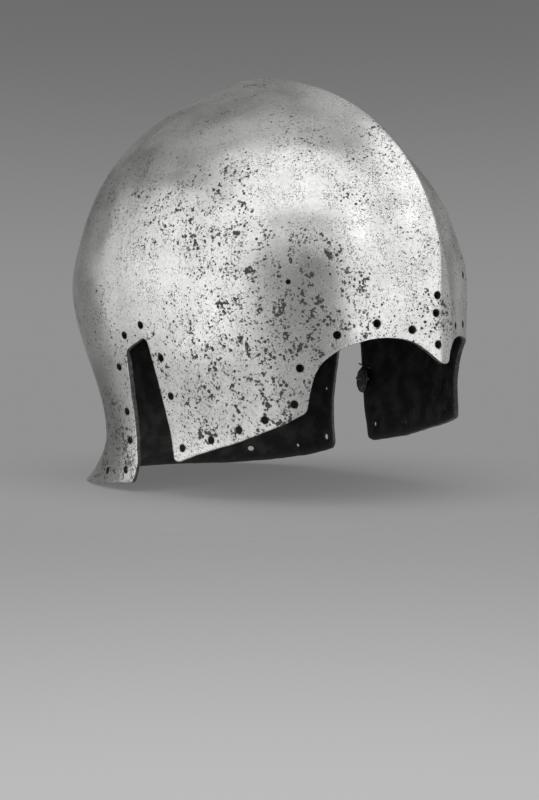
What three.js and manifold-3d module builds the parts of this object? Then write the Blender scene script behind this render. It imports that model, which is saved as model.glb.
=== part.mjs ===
// A sallet: an open-faced steel helmet raised from one plate, with a keel along its crown,
// two eye arches that meet in a short nasal, a cheek on each side, a slot behind each cheek
// and a neck guard that flares at its foot. Every rivet hole round the edges is empty, and the
// left cheek keeps the last of its chin strap and one lining wire.
//
// Millimetres. X is the wearer's left, -Y the wearer's front, +Z up. The origin is the head
// seat: the inside of the crown, on the upright axis through the top of the bowl.
import * as THREE from 'three';
import { mergeVertices } from 'three/addons/utils/BufferGeometryUtils.js';
import Module from 'manifold-3d';

const wasm = await Module();
wasm.setup();

// Driving dimensions. A depth is measured down from the widest level of the bowl,
// a reach is measured from the crown's upright axis, both to the outer skin.
const plate = 2.4;
const dome = {
  height: 120.3,
  halfWidth: 102.5,
  frontReach: 153.2,
  backReach: 96.4,
  sideFullnessShare: 1.05,
  frontFullnessShare: 1.0,
  backFullnessShare: 1.155,
  roundingShare: 0.065,
  roundingHeight: 32,
};
const waist = { depth: 91.8, halfWidth: 86.3, frontReach: 156.7, backReach: 67.7 };
const rim = { depth: 121.4, halfWidth: 88.8, backReach: 97.3, sideCurlShare: 1.97, backCurlShare: 1.64 };
const frontSquarenessShare = 2.49;
const backSquarenessShare = 2.21;
const keel = {
  height: 11.2,
  halfWidth: 12.4,
  flankShare: 1.13,
  browRadius: 12,
  crownRadius: 1,
  bluntDepth: 20,
  sharpHeight: 30,
  end: THREE.MathUtils.degToRad(140),
  fade: THREE.MathUtils.degToRad(20),
};

// The opening for the face. A row of its tables is how far out from the middle, as a share of the
// face's half width, and how deep, as a share of the nasal's depth. The nasal's tip lies a little
// to the wearer's right.
const face = { halfWidth: 64.8, nasalDepth: 45.1, nasalOffset: 1, axisReach: 80 };
const rightArchShares = [
  [0.073, 0.969], [0.15, 0.882], [0.237, 0.78], [0.333, 0.718], [0.461, 0.687], [0.598, 0.701],
  [0.71, 0.741], [0.818, 0.807], [0.895, 0.891], [0.949, 1.009], [0.975, 1.153], [0.985, 1.353],
  [0.988, 1.574],
];
const leftArchShares = [
  [0.049, 0.973], [0.079, 0.865], [0.123, 0.785], [0.192, 0.727], [0.3, 0.692], [0.475, 0.672],
  [0.664, 0.696], [0.833, 0.745], [0.934, 0.812], [0.991, 0.931], [1, 1.109], [0.985, 1.286],
  [0.946, 1.463], [0.901, 1.663], [0.901, 1.752],
];

// The lower edge, seen from the side. A row is how far ahead of the crown axis, as a share of the
// front reach, or of the foot's back reach behind it, how deep, as a share of the foot's depth,
// and the radius of the corner there.
const bend = { point: 1.2, crisp: 2, toe: 3, corner: 4.5, slot: 20, long: 60 };
const rightEdgeShares = [
  [0.809, 0.582, bend.crisp], [0.731, 0.639, bend.long], [0.561, 0.725, bend.long],
  [0.287, 0.834, bend.corner], [0.258, 0.832, bend.toe], [0.24, 0.713, bend.slot],
  [0.215, 0.544, bend.long], [0.192, 0.273, bend.point], [0.174, 0.259, bend.point],
  [0.063, 0.318, bend.corner], [0.039, 0.544, bend.long], [0.048, 0.799, bend.slot],
  [0.055, 0.857, bend.corner], [0.035, 0.956, bend.toe], [-0.349, 0.988, bend.long],
  [-0.617, 1, bend.long],
];
const leftEdgeShares = [
  [0.855, 0.651, bend.crisp], [0.747, 0.689, bend.long], [0.47, 0.779, bend.long],
  [0.287, 0.819, bend.corner], [0.255, 0.809, bend.toe], [0.244, 0.725, bend.slot],
  [0.206, 0.544, bend.long], [0.137, 0.277, bend.corner], [0.007, 0.272, bend.corner],
  [0.023, 0.61, bend.long], [0.041, 0.852, bend.corner], [0.026, 0.885, bend.toe],
  [-0.195, 0.936, bend.long], [-0.514, 0.977, bend.long], [-0.771, 1, bend.long],
];
const overrun = 8;
// Past the plate, whichever of its parts stands out the most.
const clearReach = dome.frontReach + waist.frontReach;
const clearWidth = dome.halfWidth + rim.halfWidth;

// Empty rivet holes. Rows are as in the face's tables for the brow and the cheeks' front edges,
// and as in the lower edge's tables for the others.
const holeDiameter = 4.3;
const templeHoleDiameter = 2.6;
const templeHoleShares = [1.154, 0.031];
const frontHoleShares = {
  right: [
    [0.867, 0.652], [0.579, 0.517], [0.293, 0.59], [0.08, 0.767], [0.089, 0.39], [0.071, 0.177],
    [1.052, 1.042], [1.048, 1.47],
  ],
  left: [[0.867, 0.652], [0.582, 0.519], [0.312, 0.541], [0.625, -0.109], [1.032, 1.661]],
};
const wireHoleShares = [0.225, 0.43];
const sideHoleShares = {
  right: [
    [0.664, 0.619], [0.561, 0.668], [0.439, 0.721], [0.3, 0.768], [0.264, 0.528], [0.25, 0.35],
    [0.173, 0.198], [0.069, 0.246], [-0.005, 0.399], [-0.004, 0.614], [0.004, 0.754], [-0.025, 0.898],
    [-0.236, 0.917], [-0.576, 0.911],
  ],
  left: [
    [0.482, 0.706], [0.292, 0.73], wireHoleShares, [0.173, 0.198], [0.069, 0.246], [-0.038, 0.553],
    [-0.013, 0.823], [-0.268, 0.883], [-0.584, 0.909],
  ],
};

// The lining wire: a bent end that still hooks through its hole in the left cheek.
const wire = { diameter: 1, fit: 0.4, beadDiameter: 1.6, back: 9, rise: 2.2 };

// What is left of the chin strap, at the rear edge of the left cheek.
const strap = {
  belowWire: 1.3,
  aheadOfEdge: 2,
  lean: THREE.MathUtils.degToRad(27),
  fit: 0.3,
  leatherDiameter: 17.4,
  leatherThickness: 1,
  washerDiameter: 14.6,
  washerThickness: 0.8,
  rivetSetback: 2.4,
  shankDiameter: 2,
  headDiameter: 6.4,
  headHeight: 1.3,
  peenDiameter: 3.4,
  peenHeight: 0.8,
  stubLength: 3.5,
};

// Fineness of the facets.
const tolerance = 1e-6;
const fineness = { ring: 56, domeRows: 13, lowerRows: 12, hole: 10, corner: 4, curve: 2, round: 16, wire: 8 };

const steel = new THREE.MeshStandardMaterial({ color: 0xb9b9b6, roughness: 0.38, metalness: 1 });
const darkSteel = new THREE.MeshStandardMaterial({ color: 0x4c4945, roughness: 0.6, metalness: 1 });
const oldLeather = new THREE.MeshStandardMaterial({ color: 0x2d2723, roughness: 0.85, metalness: 0 });

// Solids and meshes
function toSolid(geometry) {
  const bare = new THREE.BufferGeometry();
  bare.setAttribute('position', geometry.getAttribute('position'));
  if (geometry.index) bare.setIndex(geometry.index);
  const merged = mergeVertices(bare, tolerance);
  return new wasm.Manifold(new wasm.Mesh({
    numProp: 3,
    vertProperties: Float32Array.from(merged.getAttribute('position').array),
    triVerts: Uint32Array.from(merged.index.array),
  }));
}

function toGeometry(solid) {
  const mesh = solid.getMesh();
  const geometry = new THREE.BufferGeometry();
  geometry.setAttribute('position', new THREE.BufferAttribute(mesh.vertProperties, 3));
  geometry.setIndex(new THREE.BufferAttribute(mesh.triVerts, 1));
  geometry.computeVertexNormals();
  return geometry;
}

// The bowl's surface
const keelLiftAtCrown = keel.height / (1 + Math.exp((Math.PI / 2 - keel.end) / keel.fade));
const widestZ = -(dome.height - plate + keelLiftAtCrown);

function ease(share) {
  const held = THREE.MathUtils.clamp(share, 0, 1);
  return held * held * (3 - 2 * held);
}

// Half width, front reach and back reach of the level section, at a height over the widest level.
function section(height, inset) {
  if (height > 0) {
    const share = height / (dome.height - inset);
    const shrink = Math.sqrt(Math.max(1 - share * share, 0));
    return {
      side: (dome.halfWidth - inset) * shrink ** dome.sideFullnessShare,
      front: (dome.frontReach - inset) * shrink ** dome.frontFullnessShare,
      back: (dome.backReach - inset) * shrink ** dome.backFullnessShare,
    };
  }
  const waistShare = ease(-height / waist.depth);
  const flareShare = Math.max((-height - waist.depth) / (rim.depth - waist.depth), 0);
  const { lerp } = THREE.MathUtils;
  const sideFlare = (rim.halfWidth - waist.halfWidth) * flareShare ** rim.sideCurlShare;
  const backFlare = (rim.backReach - waist.backReach) * flareShare ** rim.backCurlShare;
  return {
    side: lerp(dome.halfWidth, waist.halfWidth, waistShare) + sideFlare - inset,
    front: lerp(dome.frontReach, waist.frontReach, waistShare) - inset,
    back: lerp(dome.backReach, waist.backReach, waistShare) + backFlare - inset,
  };
}

// The keel lifts the skin straight out, sharply over the crown and bluntly at the brow.
function keelLift(across, height, tilt) {
  const sharpShare = ease((height + keel.bluntDepth) / (keel.bluntDepth + keel.sharpHeight));
  const radius = THREE.MathUtils.lerp(keel.browRadius, keel.crownRadius, sharpShare);
  const spread = Math.hypot(across, radius) - radius;
  const flank = Math.exp(-((spread / keel.halfWidth) ** keel.flankShare));
  return keel.height * flank / (1 + Math.exp((tilt - keel.end) / keel.fade));
}

// A point of the skin at an angle round the crown axis, 0 at the front and positive to +X.
// The level sections are a little rounder over the widest level than under it.
function skin(angle, height, inset) {
  const { side, front, back } = section(height, inset);
  const sine = Math.sin(angle);
  const cosine = Math.cos(angle);
  const ahead = cosine > 0 ? front : back;
  const rounding = 1 - dome.roundingShare * ease(height / dome.roundingHeight);
  const squareness = rounding * (cosine > 0 ? frontSquarenessShare : backSquarenessShare);
  const sum = (Math.abs(sine) / side) ** squareness + (Math.abs(cosine) / ahead) ** squareness;
  const reach = sum ** (-1 / squareness);
  const base = new THREE.Vector3(reach * sine, -reach * cosine, Math.max(height, 0));
  const lift = keelLift(base.x, height, Math.atan2(base.z, -base.y));
  const outward = base.clone().normalize().multiplyScalar(lift);
  return new THREE.Vector3(base.x + outward.x, base.y + outward.y, height + outward.z + widestZ);
}

function skinNormal(angle, height) {
  const stepShare = 1e-3;
  const rise = stepShare * plate;
  const around = skin(angle + stepShare, height, 0).sub(skin(angle - stepShare, height, 0));
  const up = skin(angle, height + rise, 0).sub(skin(angle, height - rise, 0));
  return around.cross(up).normalize();
}

// The value between two others at which a test turns from true to false.
function turningPoint(from, to, test) {
  const steps = 40;
  let [low, high] = [from, to];
  for (let i = 0; i < steps; i += 1) {
    const middle = (low + high) / 2;
    if (test(middle)) low = middle;
    else high = middle;
  }
  return low;
}

// The angle at which the skin lies a given distance ahead of the crown axis, on one side.
function angleAhead(ahead, height, side) {
  return side * turningPoint(0, Math.PI, (angle) => -skin(angle, height, 0).y > ahead);
}

// The angle at which the front of the skin lies a given distance out from the middle.
function angleOut(out, height, side) {
  return side * turningPoint(0, Math.PI / 2, (angle) => skin(angle, height, 0).x < out);
}

// Places from the tables: [out, depth] at the front, and [ahead, depth] at the side.
function frontPlace([outShare, depthShare]) {
  return [outShare * face.halfWidth, depthShare * face.nasalDepth];
}

function sidePlace([aheadShare, depthShare]) {
  const reach = aheadShare > 0 ? dome.frontReach : rim.backReach;
  return [aheadShare * reach, depthShare * rim.depth];
}

// One closed shell: two skins of rings from the foot to the top, joined by a rim.
function bowlGeometry() {
  const crowdingShare = 0.75;
  const footDepth = rim.depth + overrun;
  const angles = [];
  for (let i = 0; i < fineness.ring; i += 1) {
    const turn = i / fineness.ring;
    angles.push(2 * Math.PI * turn - crowdingShare / 2 * Math.sin(4 * Math.PI * turn));
  }
  const positions = [];
  const faces = [];
  const rings = fineness.lowerRows + fineness.domeRows;
  const skins = [0, plate].map((inset) => {
    const start = positions.length / 3;
    for (let row = 0; row < rings; row += 1) {
      const domeTurn = (row - fineness.lowerRows) / fineness.domeRows * Math.PI / 2;
      const height = row < fineness.lowerRows
        ? -footDepth * (1 - row / fineness.lowerRows)
        : (dome.height - inset) * Math.sin(domeTurn);
      angles.forEach((angle) => positions.push(...skin(angle, height, inset).toArray()));
    }
    positions.push(0, 0, widestZ + dome.height - inset + keelLiftAtCrown);
    return start;
  });
  const corner = (start, row, i) => start + row * fineness.ring + i % fineness.ring;
  skins.forEach((start, inside) => {
    const add = (a, b, c) => faces.push(...(inside ? [a, c, b] : [a, b, c]));
    for (let i = 0; i < fineness.ring; i += 1) {
      for (let row = 0; row < rings - 1; row += 1) {
        add(corner(start, row, i), corner(start, row, i + 1), corner(start, row + 1, i + 1));
        add(corner(start, row, i), corner(start, row + 1, i + 1), corner(start, row + 1, i));
      }
      const top = start + rings * fineness.ring;
      add(corner(start, rings - 1, i), corner(start, rings - 1, i + 1), top);
    }
  });
  const [outer, inner] = skins;
  for (let i = 0; i < fineness.ring; i += 1) {
    faces.push(corner(outer, 0, i), corner(inner, 0, i), corner(inner, 0, i + 1));
    faces.push(corner(outer, 0, i), corner(inner, 0, i + 1), corner(outer, 0, i + 1));
  }
  const geometry = new THREE.BufferGeometry();
  geometry.setAttribute('position', new THREE.Float32BufferAttribute(positions, 3));
  geometry.setIndex(faces);
  return geometry;
}

// A smooth line through a few points.
function smooth(points) {
  const line = new THREE.SplineCurve(points.map(([x, y]) => new THREE.Vector2(x, y)));
  return line.getPoints((points.length - 1) * fineness.curve);
}

// An open outline of straight stretches whose corners are rounded.
function rounded(corners) {
  const line = [];
  corners.forEach(({ x, y, radius }, i) => {
    const here = new THREE.Vector2(x, y);
    if (i === 0 || i === corners.length - 1) {
      line.push(here);
      return;
    }
    const before = new THREE.Vector2().copy(corners[i - 1]).sub(here);
    const after = new THREE.Vector2().copy(corners[i + 1]).sub(here);
    const half = Math.abs(before.angleTo(after)) / 2;
    const room = Math.min(before.length(), after.length()) / 2;
    const reach = Math.min(radius / Math.tan(half), room);
    const start = here.clone().addScaledVector(before.normalize(), reach);
    const end = here.clone().addScaledVector(after.normalize(), reach);
    const bend = new THREE.QuadraticBezierCurve(start, here, end);
    line.push(...bend.getPoints(fineness.corner));
  });
  return line;
}

// One side's lower edge: x ahead of the crown axis and y deep.
function lowerLine(shares) {
  return rounded(shares.map(([aheadShare, depthShare, radius]) => {
    const [x, y] = sidePlace([aheadShare, depthShare]);
    return { x, y, radius };
  }));
}

// A closed mesh, turned the right way out.
function closed(positions, faces) {
  const points = positions.map((point) => point.clone());
  let volume = 0;
  for (let i = 0; i < faces.length; i += 3) {
    const [a, b, c] = [points[faces[i]], points[faces[i + 1]], points[faces[i + 2]]];
    volume += a.dot(b.clone().cross(c));
  }
  const turned = volume < 0 ? [...faces].reverse() : faces;
  const geometry = new THREE.BufferGeometry().setFromPoints(points);
  geometry.setIndex(turned);
  return geometry;
}

// A solid between two matching rings of points that share one outline.
function prism(nearRing, farRing, outline) {
  const count = outline.length;
  const faces = [];
  THREE.ShapeUtils.triangulateShape(outline, []).forEach(([a, b, c]) => {
    faces.push(a, b, c, count + a, count + c, count + b);
  });
  const forward = THREE.ShapeUtils.area(outline) > 0;
  for (let i = 0; i < count; i += 1) {
    const here = forward ? i : (i + 1) % count;
    const next = forward ? (i + 1) % count : i;
    faces.push(here, count + here, count + next, here, count + next, next);
  }
  return toSolid(closed([...nearRing, ...farRing], faces));
}

// The opening for the face, cut square to the plate along lines from an upright axis inside.
function faceCutter() {
  const innerRadius = plate;
  const footHeight = -(rim.depth + 2 * overrun);
  const turnTo = (out, height, side) => {
    const point = skin(angleOut(out, height, side), height, 0);
    return Math.atan2(point.x, -point.y - face.axisReach);
  };
  const arch = (shares, side) => smooth(shares.map(frontPlace)).map(
    ({ x, y }) => new THREE.Vector2(turnTo(x, -y, side), -y),
  );
  const right = arch(rightArchShares, -1);
  const left = arch(leftArchShares, 1);
  const rightFoot = new THREE.Vector2(right.at(-1).x, footHeight);
  const leftFoot = new THREE.Vector2(left.at(-1).x, footHeight);
  const tip = new THREE.Vector2(turnTo(face.nasalOffset, -face.nasalDepth, -1), -face.nasalDepth);
  const outline = [rightFoot, ...right.reverse(), tip, ...left, leftFoot];
  const ring = (radius) => outline.map(({ x, y }) => new THREE.Vector3(
    radius * Math.sin(x),
    -face.axisReach - radius * Math.cos(x),
    y + widestZ,
  ));
  return prism(ring(innerRadius), ring(clearReach), outline);
}

// Everything below one side's lower edge, with the slot behind the cheek.
function lowerCutter(edgeShares, side) {
  const line = lowerLine(edgeShares);
  const first = line[0];
  const last = line.at(-1);
  const foot = rim.depth + 2 * overrun;
  const outline = [
    new THREE.Vector2(clearReach, foot),
    new THREE.Vector2(clearReach, first.y),
    ...line,
    new THREE.Vector2(-clearReach, last.y),
    new THREE.Vector2(-clearReach, foot),
  ];
  const wall = (x) => outline.map((point) => new THREE.Vector3(x, -point.x, widestZ - point.y));
  return prism(wall(-side * plate), wall(side * clearWidth), outline);
}

// A hole square through the plate, at a place on the skin.
function holeCutter(angle, height, diameter) {
  const length = 2 * (plate + overrun);
  const geometry = new THREE.CylinderGeometry(diameter / 2, diameter / 2, length, fineness.hole);
  const up = new THREE.Vector3(0, 1, 0);
  const turn = new THREE.Quaternion().setFromUnitVectors(up, skinNormal(angle, height));
  const place = skin(angle, height, plate / 2);
  geometry.applyMatrix4(new THREE.Matrix4().compose(place, turn, new THREE.Vector3(1, 1, 1)));
  return toSolid(geometry);
}

function frontHole(shares, side, diameter) {
  const [out, depth] = frontPlace(shares);
  return holeCutter(angleOut(out, -depth, side), -depth, diameter);
}

function sideHole(shares, side, diameter) {
  const [ahead, depth] = sidePlace(shares);
  return holeCutter(angleAhead(ahead, -depth, side), -depth, diameter);
}

function skullGeometry() {
  let skull = toSolid(bowlGeometry()).subtract(faceCutter());
  const sides = [
    { name: 'right', side: -1, edgeShares: rightEdgeShares },
    { name: 'left', side: 1, edgeShares: leftEdgeShares },
  ];
  sides.forEach(({ name, side, edgeShares }) => {
    skull = skull.subtract(lowerCutter(edgeShares, side));
    frontHoleShares[name].forEach((shares) => {
      skull = skull.subtract(frontHole(shares, side, holeDiameter));
    });
    sideHoleShares[name].forEach((shares) => {
      skull = skull.subtract(sideHole(shares, side, holeDiameter));
    });
  });
  const { angle, height } = strapHole();
  skull = skull.subtract(holeCutter(angle, height, holeDiameter));
  return toGeometry(skull.subtract(frontHole(templeHoleShares, -1, templeHoleDiameter)));
}

function mesh(name, geometry, material) {
  const piece = new THREE.Mesh(geometry, material);
  piece.name = name;
  return piece;
}

// How far ahead the rear edge of the left cheek lies, at a depth.
function cheekEdgeAhead(depth) {
  const line = lowerLine(leftEdgeShares);
  const above = line.findIndex((point, i) => i > 0 && point.y < depth && line[i - 1].y >= depth);
  const [below, over] = [line[above - 1], line[above]];
  return THREE.MathUtils.mapLinear(depth, below.y, over.y, below.x, over.x);
}

function leftSkin(ahead, depth, inset) {
  return skin(angleAhead(ahead, -depth, 1), -depth, inset);
}

// Where the wire runs: from its hole back to its bead, a little higher.
function wirePlace() {
  const [ahead, depth] = sidePlace(wireHoleShares);
  return { ahead, depth, endAhead: ahead - wire.back, endDepth: depth - wire.rise };
}

// The frame at the rear edge of the left cheek: X out of the plate, Z up along the edge.
function cheekEdgeFrame() {
  const beadFoot = wirePlace().endDepth + wire.beadDiameter / 2;
  const depth = beadFoot + strap.belowWire + strap.leatherDiameter / 2;
  const step = strap.washerDiameter / 2;
  const edgePoint = (level) => leftSkin(cheekEdgeAhead(level), level, plate);
  const place = edgePoint(depth);
  const up = edgePoint(depth - step).sub(edgePoint(depth + step)).normalize();
  const outward = skinNormal(angleAhead(cheekEdgeAhead(depth), -depth, 1), -depth);
  const back = up.clone().cross(outward).normalize();
  return { place, up, back, outward: back.clone().cross(up) };
}

// The group that leans over the edge: X runs out along the rivet, Y back along the discs.
function leaningGroup() {
  const { place, up, back, outward } = cheekEdgeFrame();
  const lean = new THREE.Quaternion().setFromAxisAngle(new THREE.Vector3(0, 0, 1), -strap.lean);
  const group = new THREE.Group();
  group.position.copy(place).addScaledVector(outward, -strap.fit);
  group.quaternion.setFromRotationMatrix(new THREE.Matrix4().makeBasis(outward, back, up)).multiply(lean);
  group.updateMatrix();
  return group;
}

// Where the leaning rivet crosses the middle of the plate, as a place on the skin.
function strapHole() {
  const group = leaningGroup();
  const at = (x) => {
    const point = new THREE.Vector3(x, -strap.aheadOfEdge - strap.rivetSetback, 0).applyMatrix4(group.matrix);
    return { point, angle: Math.atan2(point.x, -point.y), height: point.z - widestZ };
  };
  const isInside = (x) => {
    const { point, angle, height } = at(x);
    const wall = skin(angle, height, plate / 2);
    return Math.hypot(point.x, point.y) < Math.hypot(wall.x, wall.y);
  };
  return at(turningPoint(0, strap.rivetSetback + strap.headDiameter + plate, isInside));
}

// The discs lean past the cheek's rear edge on their rivet.
function strapGroup() {
  const group = leaningGroup();
  const leatherX = -strap.leatherThickness;
  const washerX = leatherX - strap.fit - strap.washerThickness;
  const disc = (name, diameter, thickness, x, material) => {
    const shape = new THREE.Shape().absarc(0, 0, diameter / 2, 0, 2 * Math.PI);
    const boreRadius = strap.shankDiameter / 2 + strap.fit;
    const bore = new THREE.Path().absarc(-strap.rivetSetback, 0, boreRadius, 0, 2 * Math.PI, true);
    shape.holes.push(bore);
    const geometry = new THREE.ExtrudeGeometry(shape, {
      depth: thickness,
      bevelEnabled: false,
      curveSegments: fineness.round,
    });
    const piece = mesh(name, geometry, material);
    piece.rotation.set(Math.PI / 2, Math.PI / 2, 0);
    piece.position.set(x, -strap.aheadOfEdge, 0);
    return piece;
  };

  const peenX = washerX - strap.fit;
  const headRadius = strap.headDiameter / 2;
  const shankRadius = strap.shankDiameter / 2;
  const peenRadius = strap.peenDiameter / 2;
  const headAhead = strap.rivetSetback + strap.aheadOfEdge + headRadius;
  const plateFace = (strap.fit + plate) / Math.cos(strap.lean) + headAhead * Math.tan(strap.lean);
  const headX = plateFace + strap.fit;
  const profile = [
    [0, peenX - strap.stubLength],
    [shankRadius, peenX - strap.stubLength],
    [shankRadius, peenX - strap.peenHeight],
    [peenRadius, peenX - strap.peenHeight / 2],
    [peenRadius, peenX],
    [shankRadius, peenX],
    [shankRadius, headX],
    [headRadius, headX],
    [headRadius / 2, headX + strap.headHeight * 3 / 4],
    [0, headX + strap.headHeight],
  ];
  const points = profile.map(([radius, x]) => new THREE.Vector2(radius, x));
  const rivet = mesh('strap_rivet', new THREE.LatheGeometry(points, fineness.round), darkSteel);
  rivet.rotation.z = -Math.PI / 2;
  rivet.position.y = -strap.aheadOfEdge - strap.rivetSetback;
  group.add(
    disc('strap_leather', strap.leatherDiameter, strap.leatherThickness, leatherX, oldLeather),
    disc('strap_washer', strap.washerDiameter, strap.washerThickness, washerX, darkSteel),
    rivet,
  );
  return group;
}

// The wire lies on the inside of the cheek, turns out through its hole and ends in a bead.
function wireGeometry() {
  const radius = wire.diameter / 2;
  const lift = radius + wire.fit;
  const { ahead, depth, endAhead, endDepth } = wirePlace();
  const normal = skinNormal(angleAhead(ahead, -depth, 1), -depth);
  const onCheek = (share) => leftSkin(
    THREE.MathUtils.lerp(endAhead, ahead, share),
    THREE.MathUtils.lerp(endDepth, depth, share),
    plate,
  ).addScaledVector(normal, -lift);
  const hole = leftSkin(ahead, depth, plate);
  const route = [
    onCheek(0),
    onCheek(1 / 3),
    onCheek(2 / 3),
    onCheek(1),
    hole.clone().addScaledVector(normal, plate / 2),
    hole.clone().addScaledVector(normal, plate + wire.beadDiameter),
  ];
  const section = new THREE.Shape().absarc(0, 0, radius, 0, 2 * Math.PI);
  const body = new THREE.ExtrudeGeometry(section, {
    steps: route.length * fineness.curve * 2,
    curveSegments: fineness.wire,
    extrudePath: new THREE.CatmullRomCurve3(route, false, 'centripetal'),
  });
  const bead = new THREE.SphereGeometry(wire.beadDiameter / 2, fineness.wire, fineness.wire / 2);
  bead.translate(...route[0].toArray());
  return toGeometry(toSolid(body).add(toSolid(bead)));
}

const sallet = new THREE.Group();
sallet.add(
  mesh('skull', skullGeometry(), steel),
  mesh('lining_wire', wireGeometry(), darkSteel),
  strapGroup(),
);

export default sallet;
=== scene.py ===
# A sallet: an open-faced steel helmet raised from one plate, with the last of its chin strap and
# one lining wire in the left cheek. Lengths in the dictionaries are millimetres.
import math

import bpy
import numpy as np
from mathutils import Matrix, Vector
from mathutils.geometry import delaunay_2d_cdt
from mathutils.kdtree import KDTree


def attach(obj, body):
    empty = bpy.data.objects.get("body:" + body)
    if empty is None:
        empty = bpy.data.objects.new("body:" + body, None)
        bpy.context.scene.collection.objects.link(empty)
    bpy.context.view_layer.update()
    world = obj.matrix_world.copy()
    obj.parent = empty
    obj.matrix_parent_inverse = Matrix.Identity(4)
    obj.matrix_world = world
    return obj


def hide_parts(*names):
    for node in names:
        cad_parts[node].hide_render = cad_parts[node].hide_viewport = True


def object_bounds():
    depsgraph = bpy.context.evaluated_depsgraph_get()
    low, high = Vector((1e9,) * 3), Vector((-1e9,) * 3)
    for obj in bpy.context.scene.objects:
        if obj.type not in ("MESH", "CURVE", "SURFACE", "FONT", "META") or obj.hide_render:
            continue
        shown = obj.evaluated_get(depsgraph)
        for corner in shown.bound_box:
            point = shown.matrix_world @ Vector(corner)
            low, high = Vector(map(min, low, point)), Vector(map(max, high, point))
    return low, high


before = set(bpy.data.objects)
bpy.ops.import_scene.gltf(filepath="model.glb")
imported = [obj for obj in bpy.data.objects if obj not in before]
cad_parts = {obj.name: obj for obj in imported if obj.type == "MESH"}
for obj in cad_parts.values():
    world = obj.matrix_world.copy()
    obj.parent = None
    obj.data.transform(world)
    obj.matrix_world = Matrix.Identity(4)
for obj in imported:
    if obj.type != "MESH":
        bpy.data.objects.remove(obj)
cadBox = [list(corner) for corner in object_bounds()]
millimetre = 0.001
scene = bpy.context.scene
print("frame loaded")

# Camera: level, looking at the wearer's right front
camera = {
    "place": (-539.3, -579.4, -154.65),
    "turn": -44.45,            # degrees about Z, 0 looks along +Y
    "focalPixels": 1242.7,
    "frameHeight": 800,
    "horizonRow": 329.37,
    "sensor": 36,
}


def makeCamera():
    data = bpy.data.cameras.new("camera")
    data.sensor_width = camera["sensor"]
    data.lens = camera["focalPixels"] / camera["frameHeight"] * camera["sensor"]
    data.shift_y = (camera["horizonRow"] - camera["frameHeight"] / 2) / camera["frameHeight"]
    data.clip_start = 0.01
    holder = bpy.data.objects.new("camera", data)
    holder.location = Vector(camera["place"]) * millimetre
    holder.rotation_euler = (math.radians(90), 0, math.radians(camera["turn"]))
    scene.collection.objects.link(holder)
    scene.camera = holder


makeCamera()

# The skull's surface. Depths run down from the widest level, reaches out from the crown's axis.
skull = {
    "plate": 2.4,
    "domeHeight": 120.3,
    "domeSide": 102.5,
    "domeFront": 153.2,
    "domeBack": 96.4,
    "domeShares": (1.05, 1.0, 1.155),     # fullness at the side, front and back
    "rounding": (0.065, 32),              # the dome is rounder by this share, over this height
    "waistDepth": 91.8,
    "waistSide": 86.3,
    "waistFront": 156.7,
    "waistBack": 67.7,
    "footDepth": 121.4,
    "footSide": 88.8,
    "footBack": 97.3,
    "footCurlShares": (1.97, 1.64),       # at the side and back
    "squareness": (2.49, 2.21),           # of the front and back half
}
keel = {
    "height": 11.2,
    "halfWidth": 12.4,
    "flankShare": 1.13,
    "browRadius": 12,
    "crownRadius": 1,
    "bluntDepth": 20,
    "sharpHeight": 30,
    "end": math.radians(140),
    "fade": math.radians(20),
}
keelAtCrown = keel["height"] / (1 + math.exp((math.pi / 2 - keel["end"]) / keel["fade"]))
widestZ = -(skull["domeHeight"] - skull["plate"] + keelAtCrown)


def ease(share):
    held = np.clip(share, 0, 1)
    return held * held * (3 - 2 * held)


def lerp(start, end, share):
    return start + (end - start) * share


def heightAt(level, inset=0):
    # A level is the turn up the dome in radians, and below the widest level a share of its height.
    dome = (skull["domeHeight"] - inset) * np.sin(np.maximum(level, 0))
    return np.where(level > 0, dome, level * skull["domeHeight"])


def levelAt(height):
    up = np.arcsin(np.clip(height / skull["domeHeight"], 0, 1))
    return np.where(height > 0, up, height / skull["domeHeight"])


def section(height, inset):
    s = skull
    upShare = np.clip(height / (s["domeHeight"] - inset), 0, 1)
    shrink = np.sqrt(np.maximum(1 - upShare ** 2, 1e-12))
    waistShare = ease(-height / s["waistDepth"])
    flareShare = np.maximum((-height - s["waistDepth"]) / (s["footDepth"] - s["waistDepth"]), 0)
    side = lerp(s["domeSide"], s["waistSide"], waistShare)
    side = side + (s["footSide"] - s["waistSide"]) * flareShare ** s["footCurlShares"][0]
    front = lerp(s["domeFront"], s["waistFront"], waistShare)
    back = lerp(s["domeBack"], s["waistBack"], waistShare)
    back = back + (s["footBack"] - s["waistBack"]) * flareShare ** s["footCurlShares"][1]
    up = height > 0
    domed = [(s[name] - inset) * shrink ** share
             for name, share in zip(("domeSide", "domeFront", "domeBack"), s["domeShares"])]
    return [np.where(up, over, under - inset) for over, under in zip(domed, (side, front, back))]


def keelLift(across, height, tilt):
    sharpShare = ease((height + keel["bluntDepth"]) / (keel["bluntDepth"] + keel["sharpHeight"]))
    radius = lerp(keel["browRadius"], keel["crownRadius"], sharpShare)
    spread = np.hypot(across, radius) - radius
    flank = np.exp(-(spread / keel["halfWidth"]) ** keel["flankShare"])
    return keel["height"] * flank / (1 + np.exp((tilt - keel["end"]) / keel["fade"]))


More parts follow.
